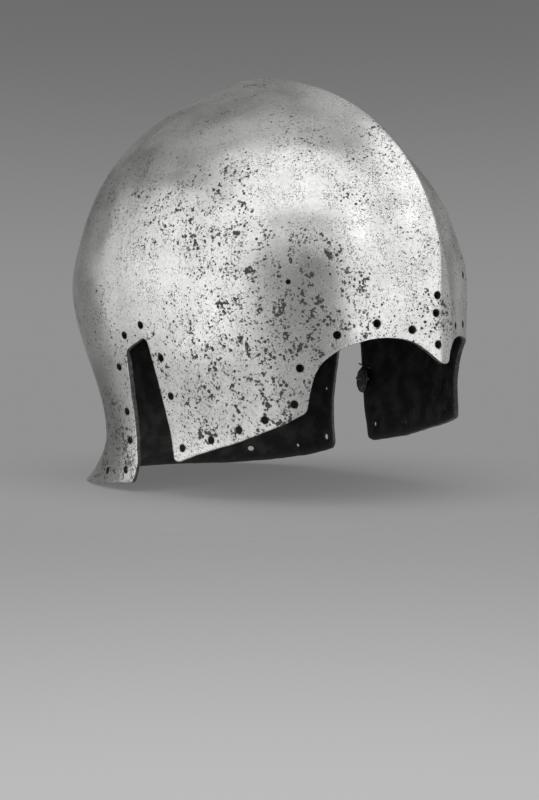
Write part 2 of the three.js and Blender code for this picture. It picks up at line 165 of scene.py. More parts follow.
def skin(angle, level, inset=0):
    angle, level = np.broadcast_arrays(np.asarray(angle, float), np.asarray(level, float))
    height = heightAt(level, inset)
    side, front, back = section(height, inset)
    sine, cosine = np.sin(angle), np.cos(angle)
    ahead = np.where(cosine > 0, front, back)
    share, rise = skull["rounding"]
    power = np.where(cosine > 0, *skull["squareness"]) * (1 - share * ease(height / rise))
    reach = ((np.abs(sine) / side) ** power + (np.abs(cosine) / ahead) ** power) ** (-1 / power)
    base = np.stack([reach * sine, -reach * cosine, np.maximum(height, 0)], -1)
    lift = keelLift(base[..., 0], height, np.arctan2(base[..., 2], -base[..., 1]))
    outward = base / np.linalg.norm(base, axis=-1, keepdims=True) * lift[..., None]
    return base + outward + np.stack([0 * height, 0 * height, np.minimum(height, 0) + widestZ], -1)


def skinSlopes(angle, level):
    step = 1e-4
    around = (skin(angle + step, level) - skin(angle - step, level)) / (2 * step)
    up = (skin(angle, level + step) - skin(angle, level - step)) / (2 * step)
    return around, up


def skinNormal(angle, level):
    normal = np.cross(*skinSlopes(angle, level))
    return normal / np.linalg.norm(normal, axis=-1, keepdims=True)


def placeNear(target, angle, level, rounds=4):
    # The place on the skin that lies nearest to a point, found from a place close to it.
    for _ in range(rounds):
        away = target - skin(angle, level)
        around, up = skinSlopes(angle, level)
        aa, ab, bb = [(one * two).sum(-1) for one, two in ((around, around), (around, up), (up, up))]
        ra, rb = (away * around).sum(-1), (away * up).sum(-1)
        whole = aa * bb - ab * ab
        angle = angle + (bb * ra - ab * rb) / whole
        level = level + (aa * rb - ab * ra) / whole
    return angle, level


def turningPoint(start, end, test, rounds=40):
    # The values between two others at which a test turns from true to false.
    low, high = np.array(start, float), np.array(end, float)
    for _ in range(rounds):
        middle = (low + high) / 2
        passed = test(middle)
        low, high = np.where(passed, middle, low), np.where(passed, high, middle)
    return low


def angleAhead(ahead, height):
    ahead, level = np.asarray(ahead, float), levelAt(np.asarray(height, float))
    return turningPoint(0 * ahead, 0 * ahead + math.pi, lambda a: -skin(a, level)[..., 1] > ahead)


def angleOut(out, level, behind=False):
    out = np.asarray(out, float)
    quarter = 0 * out + math.pi / 2
    if behind:
        return turningPoint(quarter, 2 * quarter, lambda a: skin(a, level)[..., 0] > out)
    return turningPoint(0 * out, quarter, lambda a: skin(a, level)[..., 0] < out)


def runAlong(points):
    # How far along a line of points each of them lies.
    return np.append(0, np.cumsum(np.linalg.norm(np.diff(points, axis=0), axis=1)))


def roundWays(count, turning=1):
    # Directions round a circle, anticlockwise, or clockwise where turning is -1.
    turn = turning * np.arange(count) / count * 2 * math.pi
    return np.stack([np.cos(turn), np.sin(turn)], -1)


def treeOf(points):
    tree = KDTree(len(points))
    for i, point in enumerate(points):
        tree.insert(point, i)
    tree.balance()
    return tree


# The openings. Front rows are shares of the face's half width and the nasal's depth, side rows
# are shares of the front reach (the foot's back reach behind the axis) and the foot's depth.
face = {"halfWidth": 64.8, "nasalDepth": 45.1, "nasalOffset": -1}
bend = {"point": 1.2, "crisp": 2, "toe": 3, "corner": 4.5, "slot": 20, "long": 60}
rightArchShares = [
    (0.073, 0.969), (0.15, 0.882), (0.237, 0.78), (0.333, 0.718), (0.461, 0.687), (0.598, 0.701),
    (0.71, 0.741), (0.818, 0.807), (0.895, 0.891), (0.949, 1.009), (0.975, 1.153), (0.985, 1.353),
    (0.988, 1.574)]
leftArchShares = [
    (0.049, 0.973), (0.079, 0.865), (0.123, 0.785), (0.192, 0.727), (0.3, 0.692), (0.475, 0.672),
    (0.664, 0.696), (0.833, 0.745), (0.934, 0.812), (0.991, 0.931), (1, 1.109), (0.985, 1.286),
    (0.946, 1.463), (0.901, 1.663), (0.901, 1.752)]
rightEdgeShares = [
    (0.809, 0.582, "crisp"), (0.731, 0.639, "long"), (0.561, 0.725, "long"), (0.287, 0.834, "corner"),
    (0.258, 0.832, "toe"), (0.24, 0.713, "slot"), (0.215, 0.544, "long"), (0.192, 0.273, "point"),
    (0.174, 0.259, "point"), (0.063, 0.318, "corner"), (0.039, 0.544, "long"), (0.048, 0.799, "slot"),
    (0.055, 0.857, "corner"), (0.035, 0.956, "toe"), (-0.349, 0.988, "long"), (-0.617, 1, "long")]
leftEdgeShares = [
    (0.855, 0.651, "crisp"), (0.747, 0.689, "long"), (0.47, 0.779, "long"), (0.287, 0.819, "corner"),
    (0.255, 0.809, "toe"), (0.244, 0.725, "slot"), (0.206, 0.544, "long"), (0.137, 0.277, "corner"),
    (0.007, 0.272, "corner"), (0.023, 0.61, "long"), (0.041, 0.852, "corner"), (0.026, 0.885, "toe"),
    (-0.195, 0.936, "long"), (-0.514, 0.977, "long"), (-0.771, 1, "long")]
holes = {
    "diameter": 4.3,
    "templeDiameter": 2.6,
    "strapDiameter": 3.1,      # the rivet nearly fills its hole
    "narrowDiameter": 2.6,
    "points": 20,
    "leanReach": (2.5, 6),     # round the rivet, its hole leans with it
    "rivetSteps": 400,         # tried along the rivet to find where it meets the plate
}
wireHoleShares = (0.225, 0.43)
narrowHoleShares = (wireHoleShares, (-0.038, 0.553), (-0.268, 0.883))      # the last two are half choked
templeHoleShares = (1.154, 0.031)
frontHoleShares = {
    -1: [(0.867, 0.652), (0.579, 0.517), (0.293, 0.59), (0.08, 0.767), (0.089, 0.39), (0.071, 0.177),
         (1.052, 1.042), (1.048, 1.47)],
    1: [(0.867, 0.652), (0.582, 0.519), (0.312, 0.541), (0.625, -0.109), (1.032, 1.661)]}
sideHoleShares = {
    -1: [(0.664, 0.619), (0.561, 0.668), (0.439, 0.721), (0.3, 0.768), (0.264, 0.528), (0.25, 0.35),
         (0.173, 0.198), (0.069, 0.246), (-0.005, 0.399), (-0.004, 0.614), (0.004, 0.754),
         (-0.025, 0.898), (-0.236, 0.917), (-0.576, 0.911)],
    1: [(0.482, 0.706), (0.292, 0.73), wireHoleShares, (0.173, 0.198), (0.069, 0.246),
        (-0.038, 0.553), (-0.013, 0.823), (-0.268, 0.883), (-0.584, 0.909)]}


def frontPlace(shares, side):
    height = -shares[1] * face["nasalDepth"]
    level = levelAt(height)
    return side * float(angleOut(shares[0] * face["halfWidth"], level)), float(level)


def sideLengths(aheadShare, depthShare):
    reach = skull["domeFront"] if aheadShare > 0 else skull["footBack"]
    return aheadShare * reach, depthShare * skull["footDepth"]


def sidePlace(shares, side):
    ahead, depth = sideLengths(*shares)
    return side * float(angleAhead(ahead, -depth)), float(levelAt(-depth))


def smoothLine(knots, steps):
    # A smooth line through its knots, with this many steps between two.
    knots = np.array(knots, float)
    padded = np.vstack([knots[:1], knots, knots[-1:]])
    line = []
    for i in range(len(knots) - 1):
        before, start, end, after = padded[i:i + 4]
        for share in np.arange(steps) / steps:
            pull = (end - before) / 2, (after - start) / 2
            line.append((2 * start - 2 * end + pull[0] + pull[1]) * share ** 3
                        + (-3 * start + 3 * end - 2 * pull[0] - pull[1]) * share ** 2
                        + pull[0] * share + start)
    return np.array(line + [knots[-1]])


def roundedLine(corners, steps=8):
    # Straight stretches whose corners are bent round.
    points = np.array([corner[:2] for corner in corners], float)
    line = [points[0]]
    for i in range(1, len(points) - 1):
        before, after = points[i - 1] - points[i], points[i + 1] - points[i]
        lengths = np.linalg.norm(before), np.linalg.norm(after)
        half = math.acos(np.clip(before @ after / lengths[0] / lengths[1], -1, 1)) / 2
        reach = min(corners[i][2] / math.tan(half), min(lengths) / 2)
        start, end = points[i] + before / lengths[0] * reach, points[i] + after / lengths[1] * reach
        for share in np.linspace(0, 1, steps):
            line.append((1 - share) ** 2 * start + 2 * share * (1 - share) * points[i] + share ** 2 * end)
    return np.array(line + [points[-1]])


def evenLine(angle, level, spacing, closed=True):
    # The same line with its points an even distance apart on the skin.
    if closed:
        angle, level = np.append(angle, angle[0] + 2 * math.pi), np.append(level, level[0])
    along = runAlong(skin(angle, level))
    count = max(int(round(along[-1] / spacing)), 3)
    at = np.arange(count) / count * along[-1] if closed else np.linspace(0, along[-1], count + 1)
    return np.interp(at, along, angle), np.interp(at, along, level)


outline = {
    "spacing": 1.0,
    "waveHeight": 0.16,        # the hand-cut edge wanders this much
    "waveLengths": (31, 17, 9.3),
    "wavePhases": (0.4, 2.1, 4.4),
    "cornerReach": 2.2,        # how far the cheeks' front corners are rounded
    "archSteps": 12,           # between two knots
    "cornerSteps": 9,
    "footSteps": 60,
}


def cheekLine(shares, side):
    # One side's lower edge, from its front corner to the back.
    line = roundedLine([(*sideLengths(ahead, depth), bend[name]) for ahead, depth, name in shares])
    return side * angleAhead(line[:, 0], -line[:, 1]), levelAt(-line[:, 1])


def archLine():
    # Both eye arches and the nasal between them, from the right cheek to the left.
    knots = [(-x, y) for x, y in reversed(rightArchShares)]
    knots.append((face["nasalOffset"] / face["halfWidth"], 1))
    knots += leftArchShares
    line = smoothLine(knots, outline["archSteps"]) * (face["halfWidth"], face["nasalDepth"])
    level = levelAt(-line[:, 1])
    return np.sign(line[:, 0]) * angleOut(np.abs(line[:, 0]), level), level


def bendCorner(angle, level, corner, reach):
    # Rounds the corner of a line of places, a given length to each side of it.
    along = runAlong(skin(angle, level))
    start, end = along[corner] - reach, along[corner] + reach
    ends = [(np.interp(at, along, angle), np.interp(at, along, level)) for at in (start, end)]
    share = np.linspace(0, 1, outline["cornerSteps"])
    bent = [(1 - share) ** 2 * first + 2 * share * (1 - share) * middle[corner] + share ** 2 * last
            for first, last, middle in zip(ends[0], ends[1], (angle, level))]
    before, after = along < start, along > end
    return tuple(np.concatenate([line[before], curve, line[after]])
                 for line, curve in zip((angle, level), bent))


def skullOutline():
    # From the back of the right edge, round the face and the left edge, and along the foot.
    archAngle, archLevel = archLine()
    right, left = cheekLine(rightEdgeShares, -1), cheekLine(leftEdgeShares, 1)
    kept = (archLevel > np.where(archAngle < 0, right[1][0], left[1][0]))
    archAngle, archLevel = archAngle[kept], archLevel[kept]
    rightKept = right[0] < archAngle[0]
    leftKept = left[0] > archAngle[-1]
    corners = (float(archAngle[0]), right[1][0]), (float(archAngle[-1]), left[1][0])
    line = np.concatenate([
        np.transpose(right)[rightKept][::-1], corners[:1],
        np.stack([archAngle, archLevel], -1), corners[1:],
        np.transpose(left)[leftKept]])
    rightCorner = int(rightKept.sum())
    leftCorner = rightCorner + len(archAngle) + 1
    angle, level = bendCorner(*line.T, leftCorner, outline["cornerReach"])
    angle, level = bendCorner(angle, level, rightCorner, outline["cornerReach"])
    foot = np.linspace(angle[-1], angle[0] + 2 * math.pi, outline["footSteps"])[1:-1]
    angle, level = np.append(angle, foot), np.append(level, 0 * foot + level[-1])
    angle, level = evenLine(angle, level, outline["spacing"] / 4)
    return evenLine(angle, level, outline["spacing"])


def intoPlate(angle, level):
    # Directions on the skin, square to a closed line that has the plate on its left.
    points = skin(angle, level)
    along = np.roll(points, -1, 0) - np.roll(points, 1, 0)
    inward = np.cross(skinNormal(angle, level), along)
    return inward / np.linalg.norm(inward, axis=1, keepdims=True)


def shifted(angle, level, direction, distance):
    return placeNear(skin(angle, level) + direction * np.reshape(distance, (-1, 1)), angle, level)


def waveOffset(angle, level):
    points = skin(angle, level)
    along = runAlong(np.vstack([points, points[:1]]))
    offset = np.zeros(len(points))
    for length, phase in zip(outline["waveLengths"], outline["wavePhases"]):
        turns = round(along[-1] / length)
        offset += np.sin(along[:-1] / along[-1] * turns * 2 * math.pi + phase)
    return offset * outline["waveHeight"] / len(outline["waveLengths"])


def circleOnSkin(angle, level, radius, count):
    around, _ = skinSlopes(angle, level)
    first = around / np.linalg.norm(around)
    second = np.cross(skinNormal(angle, level), first)
    ways = roundWays(count, -1)                # clockwise, so that the plate is on its left
    target = skin(angle, level) + radius * (ways[:, :1] * first + ways[:, 1:] * second)
    return placeNear(target, np.full(count, angle), np.full(count, level))


# The strap's rivet leans through the cheek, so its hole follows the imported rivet
def nodePoints(name):
    return np.array([vertex.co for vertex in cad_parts[name].data.vertices]) / millimetre


def rivetLine():
    # A point on the rivet's axis, the way that it points out of the cheek, and its two ends.
    points = np.unique(nodePoints("strap_rivet").round(4), axis=0)
    centre = points.mean(0)
    axis = np.linalg.svd(points - centre, full_matrices=False)[2][0]
    axis *= np.sign(axis[0])
    along = (points - centre) @ axis
    return centre, axis, along.min(), along.max()


def rivetPlace():
    centre, axis, low, high = rivetLine()
    along = np.linspace(low, high, holes["rivetSteps"])
    points = centre + axis * along[:, None]
    height = points[:, 2] - widestZ
    wall = skin(np.arctan2(points[:, 0], -points[:, 1]), levelAt(height), skull["plate"] / 2)
    inside = np.hypot(points[:, 0], points[:, 1]) < np.hypot(wall[:, 0], wall[:, 1])
    point = points[int(inside.sum())]
    return float(math.atan2(point[0], -point[1])), float(levelAt(point[2] - widestZ))


def holePlaces():
    places = [frontPlace(templeHoleShares, -1) + (holes["templeDiameter"],)]
    for side in (-1, 1):
        places += [frontPlace(shares, side) + (holes["diameter"],) for shares in frontHoleShares[side]]
        for shares in sideHoleShares[side]:
            diameter = holes["narrowDiameter" if shares in narrowHoleShares else "diameter"]
            places.append(sidePlace(shares, side) + (diameter,))
    return places + [rivetPlace() + (holes["strapDiameter"],)]


# The skull's mesh: both skins share one flat pattern, and a rounded rim joins them
mesher = {
    "spacing": 2.3,
    "fillet": 0.35,            # radius of the worn arrises
    "boreFillet": 0.15,
    "filletTurns": (30, 60, 90),
    "edgeRows": ((0.8, 1.1), (2.0, 1.7)),      # distance in from an edge, spacing along it
    "holeRows": ((0.7, 16), (1.9, 13)),        # distance out from a hole, points round it
    "keelRows": (0, 0.7, 1.6, 2.8),            # distances from the crest
    "keelSpacing": 1.6,
    "keelLowShare": 0.1,
    "keelSteps": 400,
    "crownGap": 0.02,          # of a radian left bare at the crown
    "nearShare": 0.72,         # least gap to a neighbour, of the spacing
    "flatScale": 100,
    "edgeReach": 3,            # how far in from an edge its mark on the plate fades
    "boreReach": 0.6,
    "slotLip": {"from": -16, "to": 2, "facing": 0.7, "slant": 1.6, "reach": 4.5, "fade": (5, 60),
                "around": 60, "ragged": 0.22,
                "waves": ((1, 4.5, 41), (1, 1.9, 43))},        # share, size and seed
    "patternSteps": (700, 721),                # levels and angles
    "patternMargin": 6,        # how far it runs on below the foot
}


class Pattern:
    # Lays the skin out flat with little stretch: levels become rings, angles follow the girth.
    def __init__(self):
        lowest = -(skull["footDepth"] + mesher["patternMargin"]) / skull["domeHeight"]
        levels, angles = mesher["patternSteps"]
        self.levels = np.linspace(lowest, math.pi / 2 - 2e-3, levels)
        turn = np.linspace(0, 2 * math.pi, angles)
        points = skin(turn[None, :], self.levels[:, None])
        girth = np.linalg.norm(np.diff(points, axis=1), axis=2).sum(1)
        rise = np.linalg.norm(np.diff(points, axis=0), axis=2).mean(1)
        middle = (girth[1:] + girth[:-1]) / 2
        self.girth = girth
        self.climb = np.append(0, np.cumsum(rise))
        self.logRadius = -np.append(0, np.cumsum(rise * 2 * math.pi / middle))
        self.logRadius -= np.interp(0, self.levels, self.logRadius)
        along = runAlong(skin(turn, 0 * turn))
        self.turn = turn
        self.follow = along / along[-1] * 2 * math.pi

    def flat(self, angle, level):
        radius = np.exp(np.interp(level, self.levels, self.logRadius))
        turned = np.interp(np.mod(angle, 2 * math.pi), self.turn, self.follow)
        return np.stack([radius * np.cos(turned), radius * np.sin(turned)], -1)

    def rings(self, spacing):
        # Staggered rings of places that cover the skin evenly.
        rowGap = spacing * math.sqrt(3) / 2
        places = []
        for row in range(int(self.climb[-1] / rowGap)):
            level = np.interp(self.climb[-1] - (row + 0.5) * rowGap, self.climb, self.levels)
            count = max(int(np.interp(level, self.levels, self.girth) / spacing), 5)
            turned = (np.arange(count) + 0.5 * (row % 2)) / count * 2 * math.pi
            angle = np.interp(turned, self.follow, self.turn)
            places.append(np.stack([angle, 0 * angle + level], -1))
        return np.concatenate(places)


def insidePolygon(points, polygon):
    inside = np.zeros(len(points), bool)
    start, end = polygon, np.roll(polygon, -1, 0)
    chunk = 4000
    for first in range(0, len(points), chunk):
        x, y = points[first:first + chunk, None, 0], points[first:first + chunk, None, 1]
        spans = (start[:, 1] > y) != (end[:, 1] > y)
        rise = np.where(spans, end[:, 1] - start[:, 1], 1)
        crossing = start[:, 0] + (y - start[:, 1]) / rise * (end - start)[:, 0]
        inside[first:first + chunk] = (spans & (x < crossing)).sum(1) % 2 == 1
    return inside


def keelPlaces():
    # Lines of places along the crest and to both sides of it.
    lines = []
    for across in mesher["keelRows"]:
        for behind in (False, True):
            low = mesher["keelLowShare"] if behind else levelAt(-face["nasalDepth"])
            level = np.linspace(low, math.pi / 2 - mesher["crownGap"], mesher["keelSteps"])
            level = level[section(heightAt(level), 0)[0] > 2 * across + 1]
            angle = angleOut(0 * level + across, level, behind)
            if across == 0:
                angle = 0 * level + (math.pi if behind else 0)
            for side in (-1, 1) if across else (1,):
                line = evenLine(side * angle, level, mesher["keelSpacing"], closed=False)
                lines.append(np.stack(line, -1))
    return lines


def clearPlaces(taken, places, gap):
    # Which places lie clear of those taken before, and of the one before them.
    tree = treeOf(skin(*taken.T))
    kept, last = [], np.full(3, 1e9)
    for i, point in enumerate(skin(*places.T)):
        if tree.find(point)[2] > gap and np.linalg.norm(point - last) > gap:
            kept.append(i)
            last = point
    return kept


def plateLoops(bores):
    # The outline and the holes, each a loop of places with the plate on its left.
    angle, level = skullOutline()
    inset = waveOffset(angle, level) + mesher["fillet"]
    line = shifted(angle, level, intoPlate(angle, level), inset)
    loops = [np.stack(evenLine(*line, outline["spacing"]), -1)]
    for angle, level, diameter in bores:
        ring = circleOnSkin(angle, level, diameter / 2 + mesher["boreFillet"], holes["points"])
        loops.append(np.stack(ring, -1))
    return loops


def platePlaces(pattern, loops, bores):
    # Every place of the pattern, loops first, and the edges that the triangles have to follow.
    polygon = pattern.flat(*loops[0].T)
    edges = loopEdges([len(loop) for loop in loops])
    rows = []
    for distance, spacing in mesher["edgeRows"]:
        line = shifted(*loops[0].T, intoPlate(*loops[0].T), distance)
        rows.append((np.stack(evenLine(*line, spacing), -1), min(distance, spacing), False))
    for angle, level, diameter in bores:
        for distance, count in mesher["holeRows"]:
            radius = diameter / 2 + mesher["boreFillet"] + distance
            rows.append((np.stack(circleOnSkin(angle, level, radius, count), -1), distance, False))
    rows += [(line, mesher["keelRows"][1], True) for line in keelPlaces()]
    rows.append((pattern.rings(mesher["spacing"]), mesher["spacing"], False))
    taken = np.concatenate(loops)
    for places, spacing, crest in rows:
        clear = insidePolygon(pattern.flat(*places.T), polygon)
        points = skin(*places.T)
        for angle, level, diameter in bores:
            clear &= np.linalg.norm(points - skin(angle, level), axis=1) > diameter / 2
        places = places[clear]
        kept = clearPlaces(taken, places, spacing * mesher["nearShare"])
        if crest:
            edges += [(len(taken) + i - 1, len(taken) + i) for i in range(1, len(kept))
                      if kept[i] == kept[i - 1] + 1]
        taken = np.concatenate([taken, places[kept]])
    return taken, edges


def loopEdges(sizes):
    edges, first = [], 0
    for size in sizes:
        edges += [(first + i, first + (i + 1) % size) for i in range(size)]
        first += size
    return edges


def fillLoops(flat, sizes, edges, scale):
    # Triangles between flat places: the first loop is the outline and the others are holes.
    polygon = flat[:sizes[0]]
    found = delaunay_2d_cdt([Vector(place) for place in flat * scale], edges, [], 0, 1e-7)
    origins = np.array([origin[0] for origin in found[3]])
    triangles = origins[np.array(found[2])]
    owner = np.full(len(flat), -1)
    owner[:sum(sizes)] = np.repeat(np.arange(len(sizes)), sizes)
    owners = owner[triangles]
    oneLoop = (owners[:, 0] == owners[:, 1]) & (owners[:, 1] == owners[:, 2])
    inPlate = insidePolygon(flat[triangles].mean(1), polygon)
    kept = ~(oneLoop & (owners[:, 0] > 0)) & (inPlate | ~(oneLoop & (owners[:, 0] == 0)))
    triangles = triangles[kept]
    a, b, c = (flat[triangles[:, i]] for i in range(3))
    turned = np.cross(b - a, c - a) < 0
    triangles[turned] = triangles[turned][:, ::-1]
    return triangles


def rimProfile(fillet, plate):
    # Distances in from the edge and down from the outer skin, across the rim.
    turns = np.radians(mesher["filletTurns"])
    upper = [(fillet * (1 - math.sin(turn)), fillet * (1 - math.cos(turn))) for turn in turns]
    return upper + [(inset, plate - depth) for inset, depth in reversed(upper)]


def joinSkins(outer, inner, triangles, sizes, offEdge, fillets, plate):
    # Closes two skins with a rounded rim round each loop. Gives each point's place and depth too.
    count = len(outer)
    every = np.arange(count)
    points, sources, depths = [outer, inner], [every, every], [np.zeros(count), np.ones(count)]
    faces = [tuple(face) for face in triangles] + [tuple(face[::-1] + count) for face in triangles]
    first, made = 0, 2 * count
    for size, fillet in zip(sizes, fillets):
        loop = every[first:first + size]
        rows = [loop]
        for inset, depth in rimProfile(fillet, plate):
            points.append(lerp(outer[loop], inner[loop], depth / plate) + offEdge[loop] * (fillet - inset))
            sources.append(loop)
            depths.append(np.full(size, depth / plate))
            rows.append(np.arange(made, made + size))
            made += size
        rows.append(loop + count)
        for upper, lower in zip(rows[:-1], rows[1:]):
            faces += list(zip(np.roll(upper, -1), upper, lower, np.roll(lower, -1)))
        first += size
    return np.concatenate(points), faces, np.concatenate(sources), np.concatenate(depths)


def leaningHole(points, depths, place):
    # How far points near the strap's rivet move so that its hole follows it.
    _, axis, _, _ = rivetLine()
    normal = skinNormal(*place)
    lean = axis / (axis @ normal) - normal
    away = np.linalg.norm(points - skin(*place, skull["plate"] / 2), axis=1)
    near, far = holes["leanReach"]
    share = (0.5 - depths) * skull["plate"] * ease((far - away) / (far - near))
    return lean * share[:, None]


waveSet = {"count": 9, "lengths": (0.6, 1.8), "spread": 3.5}       # lengths as shares of the size


def roughness3d(points, size, seed):
    # A smooth wandering value between about -1 and 1, from a few waves in different directions.
    generator = np.random.default_rng(seed)
    count = waveSet["count"]
    ways = generator.normal(size=(count, 3))
    ways /= np.linalg.norm(ways, axis=1, keepdims=True)
    lengths = size * generator.uniform(*waveSet["lengths"], count)
    phases = generator.uniform(0, 2 * math.pi, count)
    waves = np.sin(points @ (ways / lengths[:, None]).T * 2 * math.pi + phases)
    return waves.sum(1) / waveSet["spread"]


def waves3d(points, *waves):
    return sum(share * roughness3d(points, size, seed) for share, size, seed in waves)


def slotLip(points, depths, edge, offEdge):
    # The rear edge of the right slot slants, so that more of it shows from ahead.
    lip = mesher["slotLip"]
    onLip = (edge[:, 0] < 0) & (offEdge[:, 1] < -lip["facing"])
    onLip &= (edge[:, 1] > lip["from"]) & (edge[:, 1] < lip["to"])
    edge, offEdge = edge[onLip], offEdge[onLip]
    tree = treeOf(edge)
    height = edge[:, 2]
    top, foot = lip["fade"]
    weight = ease((height.max() - height) / top) * ease((height - height.min()) / foot)
    weight = weight * (1 + lip["ragged"] * waves3d(edge, *lip["waves"]))
    moved = np.zeros_like(points)
    near = np.linalg.norm(points - edge.mean(0), axis=1) < lip["around"]
    for i in np.flatnonzero(near & (depths > 0)):
        _, found, gap = tree.find(points[i])
        moved[i] = offEdge[found] * weight[found] * depths[i] * math.exp(-(gap / lip["reach"]) ** 2)
    return moved * lip["slant"]


def plateMesh():
    bores = holePlaces()
    pattern = Pattern()
    loops = plateLoops(bores)
    sizes = [len(loop) for loop in loops]
    places, edges = platePlaces(pattern, loops, bores)
    flat = pattern.flat(*places.T)
    triangles = fillLoops(flat, sizes, edges, mesher["flatScale"])
    outer, inner = skin(*places.T), skin(*places.T, skull["plate"])
    offEdge = -np.concatenate([intoPlate(*loop.T) for loop in loops])
    fillets = [mesher["fillet"]] + [mesher["boreFillet"]] * len(bores)
    points, faces, sources, depths = joinSkins(
        outer, inner, triangles, sizes, offEdge, fillets, skull["plate"])
    points = points + leaningHole(points, depths, bores[-1][:2])
    points = points + slotLip(points, depths, outer[:sizes[0]], offEdge[:sizes[0]])
    made = np.arange(len(points)) >= 2 * len(places)
    onEdge = sources < sizes[0]
    onBore = (sources >= sizes[0]) & (sources < sum(sizes))
    marks = {
        "skinNormal": skinNormal(*places.T)[sources],
        "depthShare": depths,
        "boreShare": made & onBore,
        "edgeShare": np.exp(-nearLoops(points, points[onEdge]) / mesher["edgeReach"]),
        "boreNearness": np.exp(-nearLoops(points, points[onBore]) / mesher["boreReach"]),
    }
    return points, faces, marks


def nearLoops(points, edgePoints):
    tree = treeOf(edgePoints)
    return np.array([tree.find(point)[2] for point in points])


def meshPiece(name, points, faces, edges=()):
    mesh = bpy.data.meshes.new(name)
    faces = [tuple(map(int, face)) for face in faces]
    mesh.from_pydata((np.asarray(points) * millimetre).tolist(), list(edges), faces)
    mesh.shade_smooth()
    piece = bpy.data.objects.new(name, mesh)
    scene.collection.objects.link(piece)
    return piece


def addAttribute(piece, name, values):
    values = np.asarray(values, np.float32)
    kind, field = ("FLOAT_VECTOR", "vector") if values.ndim == 2 else ("FLOAT", "value")
    attribute = piece.data.attributes.new(name, kind, "POINT")
    attribute.data.foreach_set(field, values.ravel())


class Recipe:
    # Short calls for building a node tree. A size may be a number or a socket.
    def __init__(self, tree):
        self.tree = tree

    def add(self, kind, inputs=(), **settings):
        node = self.tree.nodes.new(kind)
        for name, value in settings.items():
            setattr(node, name, value)
        for name, value in dict(inputs).items():
            self.feed(node, name, value)
        return node

    def feed(self, node, name, value):
        if isinstance(value, bpy.types.NodeSocket):
            self.tree.links.new(value, node.inputs[name])
        else:
            node.inputs[name].default_value = value

    def math(self, operation, total, *values):
        for value in values:
            total = self.add("ShaderNodeMath", {0: total, 1: value}, operation=operation).outputs[0]
        return total

    def plus(self, *values):
        return self.math("ADD", *values)

    def times(self, *values):
        return self.math("MULTIPLY", *values)

    def minus(self, first, second):
        return self.math("SUBTRACT", first, second)

    def most(self, *values):
        return self.math("MAXIMUM", *values)

    def vector(self, operation, first, second=(0, 0, 0)):
        node = self.add("ShaderNodeVectorMath", {0: first, 1: second}, operation=operation)
        return node.outputs["Value" if operation in ("DISTANCE", "LENGTH", "DOT_PRODUCT") else "Vector"]

    def moved(self, place, offset):
        return self.vector("ADD", place, offset)

    def scaled(self, vector, factor):
        node = self.add("ShaderNodeVectorMath", {0: vector, "Scale": factor}, operation="SCALE")
        return node.outputs["Vector"]

    def texture(self, kind, place, size, inputs=(), **settings):
        scale = self.math("DIVIDE", 1, size) if isinstance(size, bpy.types.NodeSocket) else 1 / size
        return self.add(kind, {"Vector": place, "Scale": scale, **dict(inputs)}, **settings).outputs

    def noise(self, place, size, detail=2.0, part=0):
        return self.texture("ShaderNodeTexNoise", place, size, {"Detail": detail})[part]

    def cells(self, place, size, **settings):
        return self.texture("ShaderNodeTexVoronoi", place, size, **settings)

    def wobble(self, place, size, detail, reach):
        # An offset that wanders from place to place, by about the reach each way.
        wander = self.vector("SUBTRACT", self.noise(place, size, detail, 1), (0.5, 0.5, 0.5))
        return self.scaled(wander, reach * 2)

    def between(self, value, low, high, start=0, end=1):
        # A smooth climb from start to end while the value goes from low to high.
        inputs = {"Value": value, "From Min": low, "From Max": high, "To Min": start, "To Max": end}
        return self.add("ShaderNodeMapRange", inputs, interpolation_type="SMOOTHSTEP").outputs[0]

    def patches(self, place, size, detail, *limits):
        # Noise, climbing as in between.
        return self.between(self.noise(place, size, detail), *limits)

    def mix(self, share, first, second):
        first, second = (value if isinstance(value, bpy.types.NodeSocket) else (*value, 1)
                         for value in (first, second))
        node = self.add("ShaderNodeMix", {0: share, 6: first, 7: second}, data_type="RGBA")
        return node.outputs[2]

    def attribute(self, name):
        return self.add("ShaderNodeAttribute", attribute_name=name).outputs["Fac"]


def makeMaterial(name):
    # A material with its shader, and the place on the piece in millimetres.
    material = bpy.data.materials.new(name)
    material.use_nodes = True
    recipe = Recipe(material.node_tree)
    shader = material.node_tree.nodes["Principled BSDF"]
    place = recipe.scaled(recipe.add("ShaderNodeTexCoord").outputs["Object"], 1 / millimetre)
    return material, recipe, shader, place


def addBump(recipe, shader, height):
    # The height is in millimetres.
    bump = recipe.add("ShaderNodeBump", {"Height": height, "Distance": millimetre, "Strength": 1})
    recipe.feed(shader, "Normal", bump.outputs[0])


